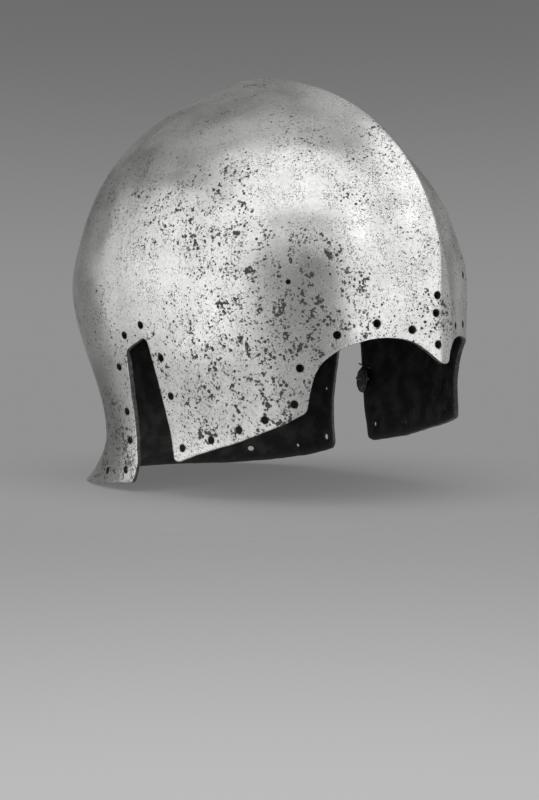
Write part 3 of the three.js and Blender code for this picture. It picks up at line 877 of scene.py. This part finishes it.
# Steel: polished, with dark pits in four sizes that crowd in patches. Patches of noise are given
# by size, detail, the noise from and to, and the value from and to.
pitting = {
    "field": (46, 2, 0.34, 0.66, 0.25, 0.8),
    "fieldLimits": (0.05, 1),
    "patchCore": 0.25,         # share of a patch's radius that has its full density
    "patches": [               # centre, radius, how much denser
        ((-80, -100, -168), 74, 0.55),
        ((-82, -74, -80), 44, 0.25),
        ((-74, -110, -112), 34, 0.5),
        ((-82, -88, -195), 52, 0.5),
        ((-66, -126, -178), 36, 0.6),
        ((-65, -131, -136), 46, 1),
        ((-95, -40, -95), 50, 0.15),
        ((-80, 24, -226), 46, 1),
        ((4, -165, -148), 26, 0.6),
        ((-14, -146, -82), 38, -0.35),
        ((-66, -113, -82), 30, -0.6),
        ((-36, -152, -122), 34, -0.4),
        ((70, -110, -150), 60, 0.5),
        ((60, 60, -170), 60, 0.5),
        ((40, -20, -20), 60, 0.3),
    ],
    "fray": (1.5, 1, 1.2),     # size, detail and reach of the wobble that frays the pits
    "crowd": (9, 3, 0.4, 0.6),
    "blots": {"size": 2.9, "detail": 3, "sparse": 0.76, "dense": 0.56, "soft": (-0.012, 0.014)},
    "layers": [                # dots, specks and grains: how far they reach, crowd and follow the field
        {"spacing": 2.3, "reach": (-0.12, 0.54), "soft": 0.06, "strength": 1,
         "fray": 0.5, "crowd": (9, 3, 0.4, 0.55, 0.15, 1), "power": 0.8},
        {"spacing": 1.7, "reach": (0.05, 0.56), "soft": 0.07, "strength": 0.85,
         "fray": 1, "crowd": (6.5, 3, 0.36, 0.6, 0.3, 1), "power": 0.6},
        {"spacing": 0.8, "reach": (0, 0.56), "soft": 0.1, "strength": 0.6,
         "fray": 1, "crowd": (12, 4, 0.36, 0.6, 0.45, 1), "power": 0},
    ],
    "chance": (0.45, 1.5),     # the random value that spreads each layer's reach
    "depth": 0.05,
}
veins = {
    "size": 7,
    "width": 0.07,
    "bend": (3, 3, 6),         # size, detail and reach
    "broken": (5, 2, 0.47, 0.55),
    "centre": (-82, 20, -228),
    "radius": 40,
    "solid": 1 / 2,            # share of the width and of the radius
}
cracks = {
    "lines": [                 # from, to
        ((-64.5, -127, -173.5), (-62.6, -128.9, -178.2)),
        ((-62.6, -128.9, -178.2), (-60.7, -130.6, -174.6)),
        ((-56.4, -137.4, -158.6), (-54.6, -138.6, -163.6)),
        ((-54.6, -138.6, -163.6), (-52.6, -140, -160.4)),
        ((-99, -27.4, -156.5), (-98.6, -29.6, -160.4)),
        ((64.5, -127, -170), (61, -130.4, -174.8)),
        ((70, 52, -240), (74.5, 48.5, -231)),
    ],
    "width": 0.2,
    "solid": 1 / 3,            # share of the width
    "wander": (1.3, 2, 0.8),   # size, detail and reach
    "strength": 0.85,          # the veins' too
}
steel = {
    "clean": (0.66, 0.66, 0.65),
    "dull": (0.52, 0.52, 0.51),
    "dullPatches": (21, 4, 0.4, 0.68, 0, 0.6),
    "dullCrowd": 0.45,                 # and where the pits crowd
    "cloud": (0.45, 0.45, 0.44),       # fine uneven tone between the pits
    "cloudPatches": (1.9, 5, 0.3, 0.7, 0, 0.5),
    "neckGuardShade": (0.22, 0.22, 0.215),      # painted shade: the neck guard darkened where it lies in shade
    "neckGuardShadeCentre": (-82, 30, -205),
    "neckGuardShadeReach": (55, 15, 0, 0.62),
    "rim": (0.105, 0.1, 0.096),
    "rimDepth": (0.002, 0.03),         # from the outer skin, as a share of the plate
    "rustPatches": (2.1, 3, 0.45, 0.62, 0, 0.75),
    "dirtNearness": (0.3, 1, 0, 0.4),  # round the holes
    "pit": (0.042, 0.04, 0.038),
    # painted shade: the walls inside the holes near black
    "bore": (0.02, 0.019, 0.018),
    "boreShare": (0.4, 0.9),
    "rimFilled": 0.6,                  # how far the rim counts as dirty
    "metallic": (0.85, 0.1),           # clean, and in pits and dirt
    "rough": (30, 2, 0.35, 0.65, 0.26, 0.38),
    "roughPits": 0.35,
    "ripple": (4.5, 3, 0.035),         # size, detail and height
}
insideLook = {
    "dark": (0.022, 0.0212, 0.0205),
    "light": (0.07, 0.067, 0.065),
    "lightPatches": (11, 4, 0.38, 0.66, 0, 0.7),
    "lightEdge": (0.1, 0.9, 0, 0.9),
    "metallic": 0.35,
    "rough": (6, 3, 0.3, 0.7, 0.5, 0.75),
    "scale": (1.4, 4, 0.12),           # size, detail and height
}


def pitField(recipe, place):
    # How densely the plate is pitted, from 0 to about 1.
    field = recipe.patches(place, *pitting["field"])
    for centre, radius, strength in pitting["patches"]:
        away = recipe.vector("DISTANCE", place, centre)
        field = recipe.plus(field, recipe.between(away, radius, radius * pitting["patchCore"], 0, strength))
    least, most = pitting["fieldLimits"]
    return recipe.math("MINIMUM", recipe.most(field, least), most)


def pitLayer(recipe, place, wobble, field, layer):
    density = recipe.times(recipe.math("POWER", field, layer["power"]),
                           recipe.patches(place, *layer["crowd"]))
    frayed = recipe.moved(place, recipe.scaled(wobble, layer["fray"]))
    cells = recipe.cells(frayed, layer["spacing"])
    chance = recipe.vector("LENGTH", cells["Color"])
    limit = recipe.times(recipe.between(chance, *pitting["chance"], *layer["reach"]), density)
    over = recipe.minus(limit, cells["Distance"])
    return recipe.times(recipe.between(over, -layer["soft"], layer["soft"]), layer["strength"])


def blotLayer(recipe, frayed, crowd):
    blots = pitting["blots"]
    limit = recipe.plus(recipe.times(crowd, blots["dense"] - blots["sparse"]), blots["sparse"])
    over = recipe.minus(recipe.noise(frayed, blots["size"], blots["detail"]), limit)
    return recipe.between(over, *blots["soft"])


def crackMask(recipe, place):
    place = recipe.moved(place, recipe.wobble(place, *cracks["wander"]))
    mask = 0
    for start, end in cracks["lines"]:
        way = Vector(end) - Vector(start)
        away = recipe.vector("SUBTRACT", place, start)
        share = recipe.vector("DOT_PRODUCT", away, way / way.length_squared)
        share = recipe.math("MINIMUM", recipe.most(share, 0), 1)
        off = recipe.vector("DISTANCE", away, recipe.scaled(tuple(way), share))
        mask = recipe.most(mask, recipe.between(off, cracks["width"], cracks["width"] * cracks["solid"]))
    return mask


def veinMask(recipe, place):
    # Thin crooked lines of rust on the neck guard.
    size, detail, reach = veins["bend"]
    bent = recipe.moved(place, recipe.scaled(recipe.noise(place, size, detail, 1), reach))
    line = recipe.cells(bent, veins["size"], feature="DISTANCE_TO_EDGE")["Distance"]
    away = recipe.vector("DISTANCE", place, veins["centre"])
    return recipe.times(
        recipe.between(line, veins["width"], veins["width"] * veins["solid"]),
        recipe.between(away, veins["radius"], veins["radius"] * veins["solid"]),
        recipe.patches(place, *veins["broken"]))


def pitMask(recipe, place, field, crowd):
    wobble = recipe.wobble(place, *pitting["fray"])
    pits = blotLayer(recipe, recipe.moved(place, wobble), crowd)
    for layer in pitting["layers"]:
        pits = recipe.most(pits, pitLayer(recipe, place, wobble, field, layer))
    lines = recipe.most(crackMask(recipe, place), veinMask(recipe, place))
    return recipe.most(pits, recipe.times(lines, cracks["strength"]))


def steelMaterial():
    material, recipe, shader, place = makeMaterial("polished pitted steel")
    field = pitField(recipe, place)
    crowd = recipe.times(field, recipe.patches(place, *pitting["crowd"]))
    pits = pitMask(recipe, place, field, crowd)
    rim = recipe.between(recipe.attribute("depthShare"), *steel["rimDepth"])
    dirt = recipe.between(recipe.attribute("boreNearness"), *steel["dirtNearness"])
    bore = recipe.attribute("boreShare")
    # Painted shade: the neck guard is darkened round this centre, where it lies in shade.
    away = recipe.vector("DISTANCE", place, steel["neckGuardShadeCentre"])
    colour = steel["clean"]
    for tone, share in (
            ("dull", recipe.most(recipe.patches(place, *steel["dullPatches"]),
                                 recipe.times(crowd, steel["dullCrowd"]))),
            ("cloud", recipe.patches(place, *steel["cloudPatches"])),
            # painted shade on the neck guard
            ("neckGuardShade", recipe.between(away, *steel["neckGuardShadeReach"])),
            ("rim", rim),
            ("pit", recipe.times(rim, recipe.patches(place, *steel["rustPatches"]))),
            ("pit", pits),
            ("rim", dirt),
            # painted shade inside the holes
            ("bore", recipe.between(bore, *steel["boreShare"]))):
        colour = recipe.mix(share, colour, steel[tone])
    filled = recipe.most(pits, dirt, recipe.times(rim, steel["rimFilled"]), bore)
    rough = recipe.patches(place, *steel["rough"])
    size, detail, height = steel["ripple"]
    ripple = recipe.times(recipe.noise(place, size, detail), height)
    recipe.feed(shader, "Base Color", colour)
    recipe.feed(shader, "Metallic", recipe.between(filled, 0, 1, *steel["metallic"]))
    recipe.feed(shader, "Roughness", recipe.plus(rough, recipe.times(filled, steel["roughPits"])))
    addBump(recipe, shader, recipe.plus(recipe.times(pits, -pitting["depth"]), ripple))
    return material


def insideMaterial():
    material, recipe, shader, place = makeMaterial("dark inner steel")
    lit = recipe.most(recipe.patches(place, *insideLook["lightPatches"]),
                      recipe.between(recipe.attribute("edgeShare"), *insideLook["lightEdge"]))
    size, detail, height = insideLook["scale"]
    recipe.feed(shader, "Base Color", recipe.mix(lit, insideLook["dark"], insideLook["light"]))
    recipe.feed(shader, "Metallic", insideLook["metallic"])
    recipe.feed(shader, "Roughness", recipe.patches(place, *insideLook["rough"]))
    addBump(recipe, shader, recipe.times(recipe.noise(place, size, detail), height))
    return material


# Hammer marks, made with Geometry Nodes on the finished mesh
hammering = {                  # each is an input of the tree
    "broadSize": 38,
    "broadHeight": 0.5,
    "markSize": 15,
    "markHeight": 0.14,
    "insideSize": 11,
    "insideDepth": 0.35,
}
insideFrom = {"facets": 0.4, "hammered": (0.95, 1), "coated": 0.97}     # the last two by share of depth


def inputSockets(group, names):
    group.interface.new_socket("Geometry", in_out="INPUT", socket_type="NodeSocketGeometry")
    found = {}
    for name, kind, value in names:
        socket = group.interface.new_socket(name, in_out="INPUT", socket_type=kind)
        if value is not None:
            socket.default_value = value
        found[name] = socket.identifier
    group.interface.new_socket("Geometry", in_out="OUTPUT", socket_type="NodeSocketGeometry")
    return found


def namedValue(recipe, name, kind):
    return recipe.add("GeometryNodeInputNamedAttribute", {"Name": name}, data_type=kind).outputs[0]


def nodePlace(recipe):
    return recipe.scaled(recipe.add("GeometryNodeInputPosition").outputs[0], 1 / millimetre)


def finishTree(recipe, geometry, coats):
    # Realize Instances, then Set Material for each coat and its selection.
    geometry = recipe.add("GeometryNodeRealizeInstances", {"Geometry": geometry}).outputs[0]
    for material, selection in coats:
        inputs = {"Geometry": geometry, "Material": material, "Selection": selection}
        geometry = recipe.add("GeometryNodeSetMaterial", inputs).outputs[0]
    recipe.feed(recipe.add("NodeGroupOutput"), 0, geometry)


def hammeredTree():
    group = bpy.data.node_groups.new("hammered plate", "GeometryNodeTree")
    lengths = [(name, "NodeSocketFloat", value) for name, value in hammering.items()]
    materials = [(name, "NodeSocketMaterial", None) for name in ("outside", "inside")]
    identifiers = inputSockets(group, lengths + materials)
    recipe = Recipe(group)
    given = recipe.add("NodeGroupInput").outputs
    place = nodePlace(recipe)
    depth = namedValue(recipe, "depthShare", "FLOAT")
    height = 0
    for name, detail in (("broad", 1), ("mark", 2)):
        wave = recipe.minus(recipe.noise(place, given[name + "Size"], detail), 0.5)
        height = recipe.plus(height, recipe.times(wave, given[name + "Height"]))
    facets = recipe.cells(place, given["insideSize"], feature="SMOOTH_F1")["Distance"]
    hollow = recipe.times(recipe.minus(facets, insideFrom["facets"]), given["insideDepth"],
                          recipe.between(depth, *insideFrom["hammered"]))
    height = recipe.times(recipe.plus(height, hollow), millimetre)
    offset = recipe.scaled(namedValue(recipe, "skinNormal", "FLOAT_VECTOR"), height)
    moved = recipe.add("GeometryNodeSetPosition", {"Geometry": given["Geometry"], "Offset": offset})
    onInside = recipe.math("GREATER_THAN", depth, insideFrom["coated"])
    finishTree(recipe, moved.outputs[0], ((given["outside"], True), (given["inside"], onInside)))
    return group, identifiers


def bakeNodes(piece, group, identifiers, values):
    # Runs the tree on the piece and keeps what it gives as a plain mesh.
    modifier = piece.modifiers.new(group.name, "NODES")
    modifier.node_group = group
    for name, value in values.items():
        modifier[identifiers[name]] = value
    depsgraph = bpy.context.evaluated_depsgraph_get()
    mesh = bpy.data.meshes.new_from_object(piece.evaluated_get(depsgraph), depsgraph=depsgraph)
    piece.modifiers.remove(modifier)
    piece.data = mesh
    mesh.shade_smooth()


points, faces, marks = plateMesh()
skullPiece = meshPiece("helmet_skull", points, faces)
for name, values in marks.items():
    addAttribute(skullPiece, name, values)
print("skull mesh:", len(points), "points,", len(faces), "faces")
bakeNodes(skullPiece, *hammeredTree(),
          {**hammering, "outside": steelMaterial(), "inside": insideMaterial()})
print("hammer marks and steel done")

# What is left of the chin strap: a leather scrap and an iron washer on a rivet, at the left cheek
strap = {
    "edgePoints": 90,
    "borePoints": 24,
    "spacing": 0.75,
    "leather": {"fray": 0.4, "relief": 0.07, "fillet": 0.3},
    "washer": {"fray": 0.25, "relief": 0.05, "fillet": 0.22},
    "fray": {"turns": 8, "mean": 0.45, "wave": 0.4, "most": 1.2},
    "frayWaves": ((1, 4.5, 0), (0.5, 1.8, 1)),         # share, size and seed
    "reliefWaves": ((1, 3.2, 2), (0.6, 1.5, 3)),
    "gapShare": 0.6,           # least gap to an edge, of the spacing
}
rivet = {
    "points": 40,
    "dents": (0.09, 2.2, 31),                  # share of the radius, size and seed
    "brokenEnd": ((0.05, 0.55), (0.35, 0.86), (0.9, 0.93), (2.2, 0.97)),       # in from it, share of shank
    "peenTurns": (0, 25, 50, 75, 90),
    "peenCurve": 1.5,
    "peenTop": 0.93,
    "peenHeights": (0.2, 0.8),                 # the least that is believed, what stands in for less
    "seatShare": 0.94,
    "headTurns": (15, 32, 50, 68, 82, 90),
    "headEdge": 0.15,
    "nearEnd": 0.1,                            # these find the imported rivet's end, head and shank
    "nearHead": 0.9,
    "nearShank": 1.1,
    "proud": 1.05,                             # of the shank: from here on it is dented
}
remnantLooks = {
    "old hard leather": {
        "dark": (0.04, 0.035, 0.03), "light": (0.12, 0.105, 0.092), "roughness": 0.72,
        "metallic": 0, "grain": 1.3},
    "rusted iron": {
        "dark": (0.07, 0.067, 0.064), "light": (0.23, 0.222, 0.212), "roughness": 0.62,
        "metallic": 0.45, "grain": 0.9},
    "worn wire": {
        "dark": (0.16, 0.154, 0.148), "light": (0.42, 0.405, 0.39), "roughness": 0.5,
        "metallic": 0.6, "grain": 0.8},
}
crust = {
    "patch": (3.1, 4),         # size and detail
    "lightFrom": (0.36, 0.66),
    "roughFrom": (0.3, 0.7),
    "roughSpread": 0.12,
    "crackBend": (2, 2),
    "crackFrom": (0.45, 0.75),
    "crackShare": 0.6,
    "crackDepth": 0.05,
    "relief": (0.9, 4, 0.16),  # size, detail and height
}


def strapFrame():
    # X out along the rivet, Y back towards the middle of the discs, Z across.
    centre, axis, _, _ = rivetLine()
    away = np.unique(nodePoints("strap_leather").round(3), axis=0).mean(0) - centre
    back = away - axis * (away @ axis)
    back /= np.linalg.norm(back)
    return centre, np.array([axis, back, np.cross(axis, back)])


def lifted(flat):
    return np.pad(flat, ((0, 0), (0, 1)))


def seeded(waves, seed):
    return [(share, size, own + seed) for share, size, own in waves]


def discMesh(node, look, seed):
    # A disc with a bore for the rivet, frayed and uneven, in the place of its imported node.
    centre, axes = strapFrame()
    local = (nodePoints(node) - centre) @ axes.T
    low, high = local.min(0), local.max(0)
    radius, middle = (high[2] - low[2]) / 2, (high[1:] + low[1:]) / 2
    fillet = look["fillet"]
    boreRadius = np.linalg.norm(local[:, 1:], axis=1).min() + fillet
    way = roundWays(strap["edgePoints"])
    fray = strap["fray"]
    wave = waves3d(lifted(way) * fray["turns"], *seeded(strap["frayWaves"], seed))
    worn = look["fray"] * np.clip(fray["mean"] + fray["wave"] * wave, 0, fray["most"])
    edge = middle + way * (radius - fillet - worn)[:, None]
    bore = roundWays(strap["borePoints"], -1) * boreRadius
    steps = np.arange(-radius, radius, strap["spacing"])
    grid = np.stack(np.meshgrid(steps, steps), -1).reshape(-1, 2)
    grid[:, 0] += strap["spacing"] / 2 * (np.round(grid[:, 1] / strap["spacing"]) % 2)
    grid += middle
    loops = np.concatenate([edge, bore])
    gap = np.linalg.norm(grid[:, None] - loops[None], axis=2).min(1)
    clear = insidePolygon(grid, edge) & (np.linalg.norm(grid, axis=1) > boreRadius)
    flat = np.concatenate([loops, grid[clear & (gap > strap["spacing"] * strap["gapShare"])]])
    sizes = [len(edge), len(bore)]
    triangles = fillLoops(flat, sizes, loopEdges(sizes), 1)

    def face(depth, side):
        broad, narrow = seeded(strap["reliefWaves"], seed)
        wave = waves3d(lifted(flat), broad, seeded([narrow], side)[0])
        return centre + np.column_stack([depth + look["relief"] * np.clip(wave, -1, 1), flat]) @ axes

    offEdge = np.concatenate([way, -bore / boreRadius]) @ axes[1:]
    return joinSkins(face(high[0], 0), face(low[0], 1), triangles, sizes, offEdge,
                     (fillet, fillet), high[0] - low[0])


def rivetProfile(low, high, radii):
    # Distances along the rivet and its radius there: a broken end, a peened collar and a domed head.
    shank, peen, head = radii["shank"], radii["peen"], radii["head"]
    collar, seat = radii["collar"], radii["seat"]
    edge = seat + rivet["headEdge"]
    profile = [(low, 0)] + [(low + inset, shank * share) for inset, share in rivet["brokenEnd"]]
    for turn in np.radians(rivet["peenTurns"]):
        rise = math.sin(turn) ** rivet["peenCurve"]
        profile.append((collar - radii["peenHeight"] * (1 - rise), lerp(shank, peen, rise)))
    profile += [(collar, peen * rivet["peenTop"]), (collar, shank)]
    profile += [(seat, shank), (seat, head * rivet["seatShare"]), (edge, head)]
    for turn in np.radians(rivet["headTurns"]):
        profile.append((edge + (high - edge) * math.sin(turn), head * math.cos(turn)))
    return profile


def rivetMesh():
    centre, axes = strapFrame()
    local = (nodePoints("strap_rivet") - centre) @ axes.T
    along, out = local[:, 0], np.linalg.norm(local[:, 1:], axis=1)
    washer = ((nodePoints("strap_washer") - centre) @ axes.T)[:, 0]
    outside = along > 0
    inside = along < washer.min()
    radii = {
        "shank": out[along < along.min() + rivet["nearEnd"]].max(),
        "peen": out[inside].max(),
        "head": out[outside].max(),
        "collar": along[inside].max(),
        "seat": along[outside & (out > out[outside].max() * rivet["nearHead"])].min(),
    }
    bare = inside & (out < radii["shank"] * rivet["nearShank"])
    least, usual = rivet["peenHeights"]
    found = radii["collar"] - along[bare].max()
    radii["peenHeight"] = usual if found < least else found
    profile = rivetProfile(along.min(), along.max(), radii)
    way = roundWays(rivet["points"])
    points = [np.column_stack([np.full(len(way), x), radius * way]) for x, radius in profile[1:-1]]
    points = np.concatenate(points + [[(profile[0][0], 0, 0), (profile[-1][0], 0, 0)]])
    rows = np.arange(len(points) - 2).reshape(-1, len(way))
    nextRows = np.roll(rows, -1, 1)
    faces = []
    for i in range(len(rows) - 1):
        faces += list(zip(rows[i], nextRows[i], nextRows[i + 1], rows[i + 1]))
    faces += [(rows.size, after, here) for here, after in zip(rows[0], nextRows[0])]
    faces += [(rows.size + 1, here, after) for here, after in zip(rows[-1], nextRows[-1])]
    proud = np.linalg.norm(points[:, 1:], axis=1) > radii["shank"] * rivet["proud"]
    free = proud | (points[:, 0] < radii["collar"] - radii["peenHeight"])
    dent = waves3d(points, rivet["dents"]) * free
    points[:, 1:] *= (1 - np.abs(dent) / 2)[:, None]
    return centre + points @ axes, faces


def remnantMaterial(name):
    look = remnantLooks[name]
    material, recipe, shader, place = makeMaterial(name)
    patch = recipe.noise(place, *crust["patch"])
    bent = recipe.moved(place, recipe.noise(place, *crust["crackBend"], 1))
    lines = recipe.between(recipe.cells(bent, look["grain"])["Distance"], *crust["crackFrom"])
    colour = recipe.mix(recipe.between(patch, *crust["lightFrom"]), look["dark"], look["light"])
    colour = recipe.mix(recipe.times(lines, crust["crackShare"]), colour, look["dark"])
    rough = [look["roughness"] + sign * crust["roughSpread"] for sign in (-1, 1)]
    size, detail, height = crust["relief"]
    relief = recipe.times(recipe.noise(place, size, detail), height)
    recipe.feed(shader, "Base Color", colour)
    recipe.feed(shader, "Metallic", look["metallic"])
    recipe.feed(shader, "Roughness", recipe.between(patch, *crust["roughFrom"], *rough))
    addBump(recipe, shader, recipe.plus(relief, recipe.times(lines, -crust["crackDepth"])))
    return material


ironMaterial = remnantMaterial("rusted iron")
leatherPiece = meshPiece("strap_leather_scrap", *discMesh("strap_leather", strap["leather"], 5)[:2])
washerPiece = meshPiece("strap_iron_washer", *discMesh("strap_washer", strap["washer"], 17)[:2])
rivetPiece = meshPiece("strap_broken_rivet", *rivetMesh())
leatherPiece.data.materials.append(remnantMaterial("old hard leather"))
for piece in (washerPiece, rivetPiece):
    piece.data.materials.append(ironMaterial)
print("strap remnant done")

# The lining wire: a bent end that hooks through its hole in the left cheek
wire = {
    "thickness": 1.15,
    "fit": 0.33,
    "back": 8.2,               # from the hole to its curled end
    "rise": 2.2,
    "beyond": 1.6,             # how far it comes out of the cheek
    "curlRadius": 0.5,
    "curlTurns": (250, 200, 150, 100, 50),
    "onCheek": 0.88,           # share of its way back that it lies along the cheek
    "flattenSize": 2.4,
    "flatten": (0.3, 0.7, 0.78, 1),            # noise from and to, share of the thickness
    "sides": 14,
    "through": (0.1, 0.6),     # shares of the plate where it passes, and of how far it comes out
    "outside": (0.3, 1),
    "steps": 6,
}


def wireRoute():
    # On the inside of the cheek from the curled end to the hole, and out through it.
    ahead, depth = sideLengths(*wireHoleShares)

    def onCheek(share, inset):
        height = -lerp(depth - wire["rise"], depth, share)
        angle = angleAhead(lerp(ahead - wire["back"], ahead, share), height)
        return skin(angle, levelAt(height), inset)

    normal = skinNormal(angleAhead(ahead, -depth), levelAt(-depth))
    lift = normal * (wire["thickness"] / 2 + wire["fit"])
    hole = onCheek(1, skull["plate"])
    shares = np.linspace(0, wire["onCheek"], wire["steps"])
    straight = [onCheek(share, skull["plate"]) - lift for share in shares]
    through = [hole + normal * skull["plate"] * share for share in wire["through"]]
    outside = [hole + normal * (skull["plate"] + wire["beyond"] * share) for share in wire["outside"]]
    way = straight[0] - straight[1]
    way /= np.linalg.norm(way)
    curl = [straight[0] + wire["curlRadius"] * (way * math.sin(turn) - normal * (1 - math.cos(turn)))
            for turn in np.radians(wire["curlTurns"])]
    return smoothLine(curl + straight + through + outside, wire["steps"])


def wireTree():
    group = bpy.data.node_groups.new("wire along a route", "GeometryNodeTree")
    identifiers = inputSockets(group, [
        ("radius", "NodeSocketFloat", wire["thickness"] / 2 * millimetre),
        ("flattenSize", "NodeSocketFloat", wire["flattenSize"]),
        ("sides", "NodeSocketInt", wire["sides"]),
        ("material", "NodeSocketMaterial", None)])
    recipe = Recipe(group)
    given = recipe.add("NodeGroupInput").outputs
    route = recipe.add("GeometryNodeMeshToCurve", {"Mesh": given["Geometry"]}).outputs[0]
    uneven = recipe.between(recipe.noise(nodePlace(recipe), given["flattenSize"]), *wire["flatten"])
    thick = recipe.times(given["radius"], uneven)
    ring = recipe.add("GeometryNodeCurvePrimitiveCircle", {
        "Resolution": given["sides"], "Radius": 1}).outputs[0]
    body = recipe.add("GeometryNodeCurveToMesh", {
        "Curve": route, "Profile Curve": ring, "Scale": thick, "Fill Caps": True}).outputs[0]
    finishTree(recipe, body, ((given["material"], True),))
    return group, identifiers


route = wireRoute()
wirePiece = meshPiece("lining_wire_hook", route, [], [(i, i + 1) for i in range(len(route) - 1)])
bakeNodes(wirePiece, *wireTree(), {"material": remnantMaterial("worn wire")})
print("lining wire done:", len(wirePiece.data.polygons), "faces")

# Softboxes, floor and backdrop
softboxes = {
    "centre": (0, -20, -125),
    "distance": 1500,
    "lamps": {                 # azimuth from +Y towards +X, elevation, size, radiance
        "top softbox": (222, 65, (2300, 1340), 1.58),
        "left softbox": (291.5, 9, (1750, 2000), 1.32),
        "right softbox": (174, 6, (1500, 2000), 1.3),
        "side softbox": (112, 4, (1350, 1800), 0.33),
        "overhead softbox": (40, 73, (2000, 440), 0.5),
    },
}
ground = {
    "radius": 1500,
    "points": 96,
    "drop": 0.3,               # the hammered foot reaches a little under the CAD's
    "colour": (0.75, 0.2),     # for what it lights, and for the camera
    "glow": (0.26, 0.13),      # for the same two
    "roughness": 0.9,
    "fade": (130, 330),
}
backdrop = {
    "surround": 0.22,          # what diffuse light finds beyond the floor
    "horizon": 0.285,          # what the camera, reflections and glass find
    "top": 0.15,
    "topRise": (0, 0.28),
    "foot": 0.5,
    "footRise": (-0.36, -0.1),
    "way": (0.7, 0.714, 0),    # it is palest behind the object, as the camera sees it
    "width": (0.84, 0.97),
    "sides": 0.5,              # its share there, and up to this far round behind the camera
    "behind": (-0.5, 0.1),
}


def isSeen(recipe):
    # 1 where the camera, a reflection or glass looks, so that the steel shows what the camera does.
    rays = recipe.add("ShaderNodeLightPath").outputs
    return recipe.most(*(rays[f"Is {name} Ray"] for name in ("Camera", "Glossy", "Transmission")))


def makeSoftbox(name, azimuth, elevation, size, radiance):
    data = bpy.data.lights.new(name, "AREA")
    data.shape = "RECTANGLE"
    data.size, data.size_y = size[0] * millimetre, size[1] * millimetre
    data.energy = radiance * math.pi * data.size * data.size_y
    lamp = bpy.data.objects.new(name, data)
    turn, rise = math.radians(azimuth), math.radians(elevation)
    away = Vector((math.sin(turn) * math.cos(rise), math.cos(turn) * math.cos(rise), math.sin(rise)))
    lamp.location = (Vector(softboxes["centre"]) + away * softboxes["distance"]) * millimetre
    lamp.rotation_euler = away.to_track_quat("Z", "Y").to_euler()
    scene.collection.objects.link(lamp)


def makeFloor():
    ring = lifted(roundWays(ground["points"])) * ground["radius"]
    ring[:, 2] = cadBox[0][2] / millimetre - ground["drop"]
    piece = meshPiece("floor", ring, [range(ground["points"])])
    material, recipe, shader, place = makeMaterial("pale floor")
    seen = isSeen(recipe)
    away = recipe.vector("LENGTH", recipe.vector("MULTIPLY", place, (1, 1, 0)))
    recipe.feed(shader, "Base Color", recipe.mix(seen, *((grey,) * 3 for grey in ground["colour"])))
    recipe.feed(shader, "Emission Color", (1, 1, 1, 1))
    recipe.feed(shader, "Emission Strength", recipe.between(seen, 0, 1, *ground["glow"]))
    recipe.feed(shader, "Roughness", ground["roughness"])
    recipe.feed(shader, "Alpha", recipe.between(away, *ground["fade"], 1, 0))
    piece.data.materials.append(material)
    return piece


def makeWorld():
    world = bpy.data.worlds.new("studio")
    scene.world = world
    world.use_nodes = True
    recipe = Recipe(world.node_tree)
    way = recipe.add("ShaderNodeTexCoord").outputs["Generated"]
    up = recipe.add("ShaderNodeSeparateXYZ", {0: way}).outputs[2]
    shade = recipe.plus(
        recipe.between(up, *backdrop["topRise"], backdrop["horizon"], backdrop["top"]),
        recipe.between(up, *backdrop["footRise"], backdrop["foot"] - backdrop["horizon"], 0))
    flat = recipe.vector("NORMALIZE", recipe.vector("MULTIPLY", way, (1, 1, 0)))
    ahead = recipe.vector("DOT_PRODUCT", flat, backdrop["way"])
    sides = recipe.most(recipe.between(ahead, *backdrop["width"], backdrop["sides"], 1),
                        recipe.between(ahead, *backdrop["behind"], 1, backdrop["sides"]))
    extra = recipe.minus(recipe.times(shade, sides), backdrop["surround"])
    surround = recipe.plus(recipe.times(isSeen(recipe), extra), backdrop["surround"])
    recipe.feed(world.node_tree.nodes["Background"], "Color", surround)


for name, values in softboxes["lamps"].items():
    makeSoftbox(name, *values)
floorPiece = makeFloor()
makeWorld()
scene.view_settings.view_transform = "Standard"
print("floor and light done")

for piece, node, slot in (
        (skullPiece, "skull", "skull_steel"),
        (leatherPiece, "strap_leather", "strap_leather"),
        (washerPiece, "strap_washer", "strap_iron"),
        (rivetPiece, "strap_rivet", "strap_iron"),
        (wirePiece, "lining_wire", "strap_iron")):
    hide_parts(node)
    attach(piece, "root")
